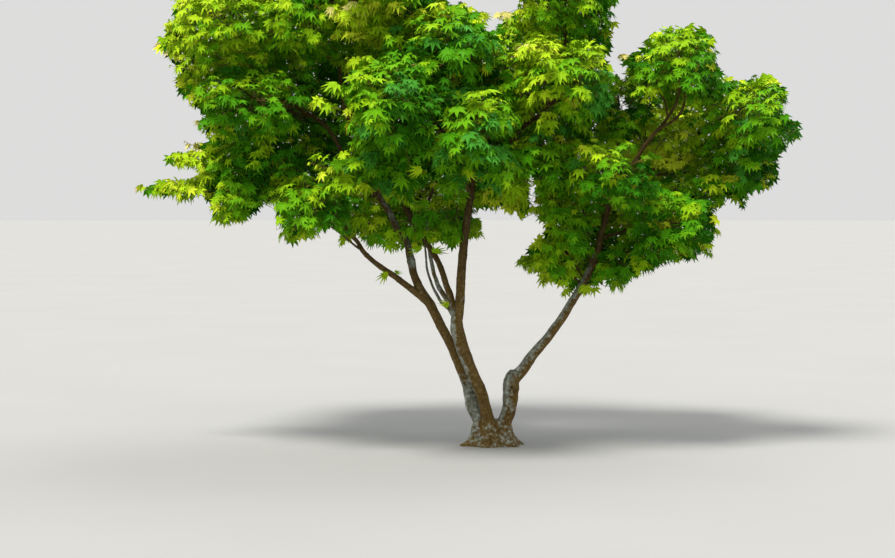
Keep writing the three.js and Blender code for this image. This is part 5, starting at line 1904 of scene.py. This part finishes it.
# painted shade: the limbs are darkened higher up, where the crown above shades them, all but the pale boughs
old = np.maximum(old, 0.60 * band(z, 0.38, 0.62) * ~np.isin(name_here, ["bough_pale", "bough_slender"]))
for _ in range(6):
    lichen = relaxed(lichen[:, None], 0.5)[:, 0]

fine_mesh.vertices.foreach_set("co", co.astype(np.float32).ravel())
for key, kind, values in (("grain", "FLOAT_VECTOR", grain), ("lichen", "FLOAT", lichen), ("old", "FLOAT", old)):
    layer = fine_mesh.attributes.new(key, kind, "POINT")
    layer.data.foreach_set("vector" if kind == "FLOAT_VECTOR" else "value", np.ascontiguousarray(values, np.float32).ravel())
bm = bmesh.new()
bm.from_mesh(fine_mesh)
bmesh.ops.bisect_plane(bm, geom=bm.verts[:] + bm.edges[:] + bm.faces[:], plane_co=(0, 0, 0), plane_no=(0, 0, -1), clear_outer=True)
rim = [e for e in bm.edges if e.is_boundary]
bmesh.ops.holes_fill(bm, edges=rim, sides=0)
bmesh.ops.triangulate(bm, faces=bm.faces[:])
for f in bm.faces:
    f.smooth = True
bm.to_mesh(fine_mesh)
bm.free()
fine_mesh.name = "stems_and_boughs"
stems = bpy.data.objects.new("stems_and_boughs", fine_mesh)
bpy.context.scene.collection.objects.link(stems)
stems.data.materials.clear()
stems.data.materials.append(BARK)
print("stems", len(fine_mesh.polygons))
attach(stems, "root")
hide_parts("root_crown", *SHOWING)

# ---------------------------------------------------------------- boughs, branches and twigs in the leaves
bark_pile, twig_pile = Pile(), Pile()
for number, (kind, family, nodes, name) in enumerate(limbs):
    if kind == "showing":
        continue
    if kind != "bough":
        bearing = [k for k, node in enumerate(nodes) if k and load[node] > 0]
        if not bearing:
            continue
        nodes = nodes[: bearing[-1] + 1]
    p, r = pos[nodes].copy(), radius[nodes].copy()
    if kind != "bough":
        r[0] = min(radius[nodes[0]] * 0.8, r[1] * 1.35)
    big = r[min(1, len(r) - 1)]
    if len(r) > 3:
        r[1:-1] = (r[:-2] + r[1:-1] * 2 + r[2:]) / 4
    if kind == "bough" or big > 0.0022:
        s = 12 if big > 0.006 else (9 if big > 0.0035 else 7)
        if kind == "bough" and len(p) > 3:
            d = np.concatenate([[0], np.cumsum(np.linalg.norm(np.diff(p, axis=0), axis=1))])
            fine_d = np.linspace(0, d[-1], int(d[-1] / 0.011) + 2)
            p, r = smooth_path(np.column_stack([p, r]), 0.011)
        v, t, g = tube(p, r, s, closed_start=False, swell=uneven(number * 1.3, 0.06))
        g = g * np.array([1.6, 1.6, 9.0]) + np.array([(number % 37) * 3.1, 0, 0])
        pale = 0.30 if name in ("left_main", "centre_back") else 0.12
        # boughs and branches in the leaves are all painted darker, for the crown's shade
        bark_pile.add(v, t, grain=g, lichen=np.full(len(v), pale), old=np.full(len(v), 0.45))
    else:
        s = 5 if big > 0.0018 else (4 if big > 0.0013 else 3)
        v, t, g = tube(p, r, s, closed_start=False)
        twig_pile.add(v, t)
v, t, e = bark_pile.joined()
print("branches", len(t))
branches = new_mesh("branches", v, t, attributes={"grain": ("FLOAT_VECTOR", e["grain"]), "lichen": ("FLOAT", e["lichen"]), "old": ("FLOAT", e["old"])}, smooth=True)
branches.data.materials.append(BARK)
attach(branches, "root")
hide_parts("bough_left_reach", "bough_left_upper", "bough_right_upper", "bough_right_fork")
v, t, e = twig_pile.joined()
print("twigs", len(t))
twigs = new_mesh("twigs", v, t, smooth=True)
twigs.data.materials.append(twig_material("twig_bark", (70, 50, 26)))
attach(twigs, "root")

# ---------------------------------------------------------------- the leaves' meshes
leaf_at, leaf_x, leaf_y, leaf_z, leaf_size, leaf_tint, leaf_form = all_arrays[:7]
keep_ids = np.nonzero(leaf_keep)[0]
print("leaves", len(keep_ids), "of", len(leaf_at))

for tint_no, tint in enumerate(TINT_NAMES):
    chosen = keep_ids[leaf_tint[keep_ids] == tint_no]
    if not len(chosen):
        continue
    pile = Pile()
    for form, (shape, faces, uv) in enumerate(SHAPES):
        ids = chosen[leaf_form[chosen] == form]
        if not len(ids):
            continue
        local = shape[None] * leaf_size[ids][:, None, None]
        v = leaf_at[ids][:, None] + local[..., 0:1] * leaf_x[ids][:, None] + local[..., 1:2] * leaf_y[ids][:, None] + local[..., 2:3] * leaf_z[ids][:, None]
        f = faces[None] + (np.arange(len(ids)) * len(shape))[:, None, None]
        pile.add(v.reshape(-1, 3), f.reshape(-1, 3), uv=np.tile(uv[faces].reshape(-1, 2), (len(ids), 1)))
    v, t, e = pile.joined()
    ob = new_mesh("leaves_" + tint, v, t, corner_uv=e["uv"])
    ob.data.materials.append(leaf_material("leaf_" + tint, TINTS[tint]))
    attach(ob, "root")
    print("leaves", tint, len(t))
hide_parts(*MASS_NAMES)

# stalks
a, b = (np.array([s[k] for s in stalks])[keep_ids] for k in (0, 1))
d = unit(b - a)
side = unit(np.cross(d, UP) + 1e-6)
third = np.cross(d, side)
angles = np.arange(3) / 3 * 2 * math.pi
ring = side[:, None] * np.cos(angles)[None, :, None] + third[:, None] * np.sin(angles)[None, :, None]
v = np.concatenate([a[:, None] + ring * 0.00075, b[:, None]], 1)
f = np.array([[0, 1, 3], [1, 2, 3], [2, 0, 3]])
t = (f[None] + (np.arange(len(a)) * 4)[:, None, None]).reshape(-1, 3)
stalk_ob = new_mesh("leaf_stalks", v.reshape(-1, 3), t)
stalk_ob.data.materials.append(twig_material("stalk_green", (128, 138, 40), 0.5))
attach(stalk_ob, "root")
print("stalks", len(t))
shoot_pile = Pile()
for s, last in zip(ordered, last_place):
    if last < 0:
        continue
    pts = s["points"][: last + 1]
    few = pts if len(pts) > 5 or len(pts) < 3 else pts[[0, len(pts) // 2, len(pts) - 1]]
    v, t, g = tube(few, np.linspace(TIP_R, 0.0006, len(few)), 3, closed_start=False, closed_end=False)
    shoot_pile.add(v, t)
v, t, e = shoot_pile.joined()
shoots = new_mesh("shoots", v, t)
shoots.data.materials.append(twig_material("shoot_olive", (108, 88, 36), 0.5))
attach(shoots, "root")
print("shoots", len(t))

# ---------------------------------------------------------------- floor and light
def floor_material():
    m, nt, nodes, links, bsdf = material("pale_floor")
    coord = nodes.new("ShaderNodeTexCoord")
    tex = nodes.new("ShaderNodeTexNoise")
    tex.inputs["Scale"].default_value = 1.2
    links.new(coord.outputs["Object"], tex.inputs["Vector"])
    r = nodes.new("ShaderNodeValToRGB")
    r.color_ramp.elements[0].color = (0.33, 0.33, 0.325, 1)
    r.color_ramp.elements[1].color = (0.36, 0.36, 0.355, 1)
    links.new(tex.outputs["Fac"], r.inputs["Fac"])
    links.new(r.outputs["Color"], bsdf.inputs["Base Color"])
    bsdf.inputs["Roughness"].default_value = 0.9
    return m


bm = bmesh.new()
bmesh.ops.create_circle(bm, cap_ends=True, radius=60.0, segments=96)
mesh = bpy.data.meshes.new("floor")
bm.to_mesh(mesh)
bm.free()
floor = bpy.data.objects.new("floor", mesh)
bpy.context.scene.collection.objects.link(floor)
floor.data.materials.append(floor_material())
floor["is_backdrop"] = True

world = bpy.data.worlds.new("studio")
bpy.context.scene.world = world
world.use_nodes = True
back = world.node_tree.nodes["Background"]
back.inputs["Color"].default_value = (0.95, 0.95, 0.945, 1)
back.inputs["Strength"].default_value = 0.76


def sun(name, towards, strength, angle_deg, colour=(1, 1, 1)):
    data = bpy.data.lights.new(name, "SUN")
    data.energy = strength
    data.angle = math.radians(angle_deg)
    data.color = colour
    ob = bpy.data.objects.new(name, data)
    ob.rotation_euler = Vector(towards).to_track_quat("-Z", "Y").to_euler()
    bpy.context.scene.collection.objects.link(ob)


sun("key", (0.42, 0.62, -1.35), 4.15, 20, (1.0, 0.97, 0.90))
sun("rim", (-0.5, -0.8, -1.1), 1.0, 40, (0.95, 0.98, 1.0))

bpy.context.scene.view_settings.view_transform = "Standard"
bpy.context.scene.view_settings.look = "None"
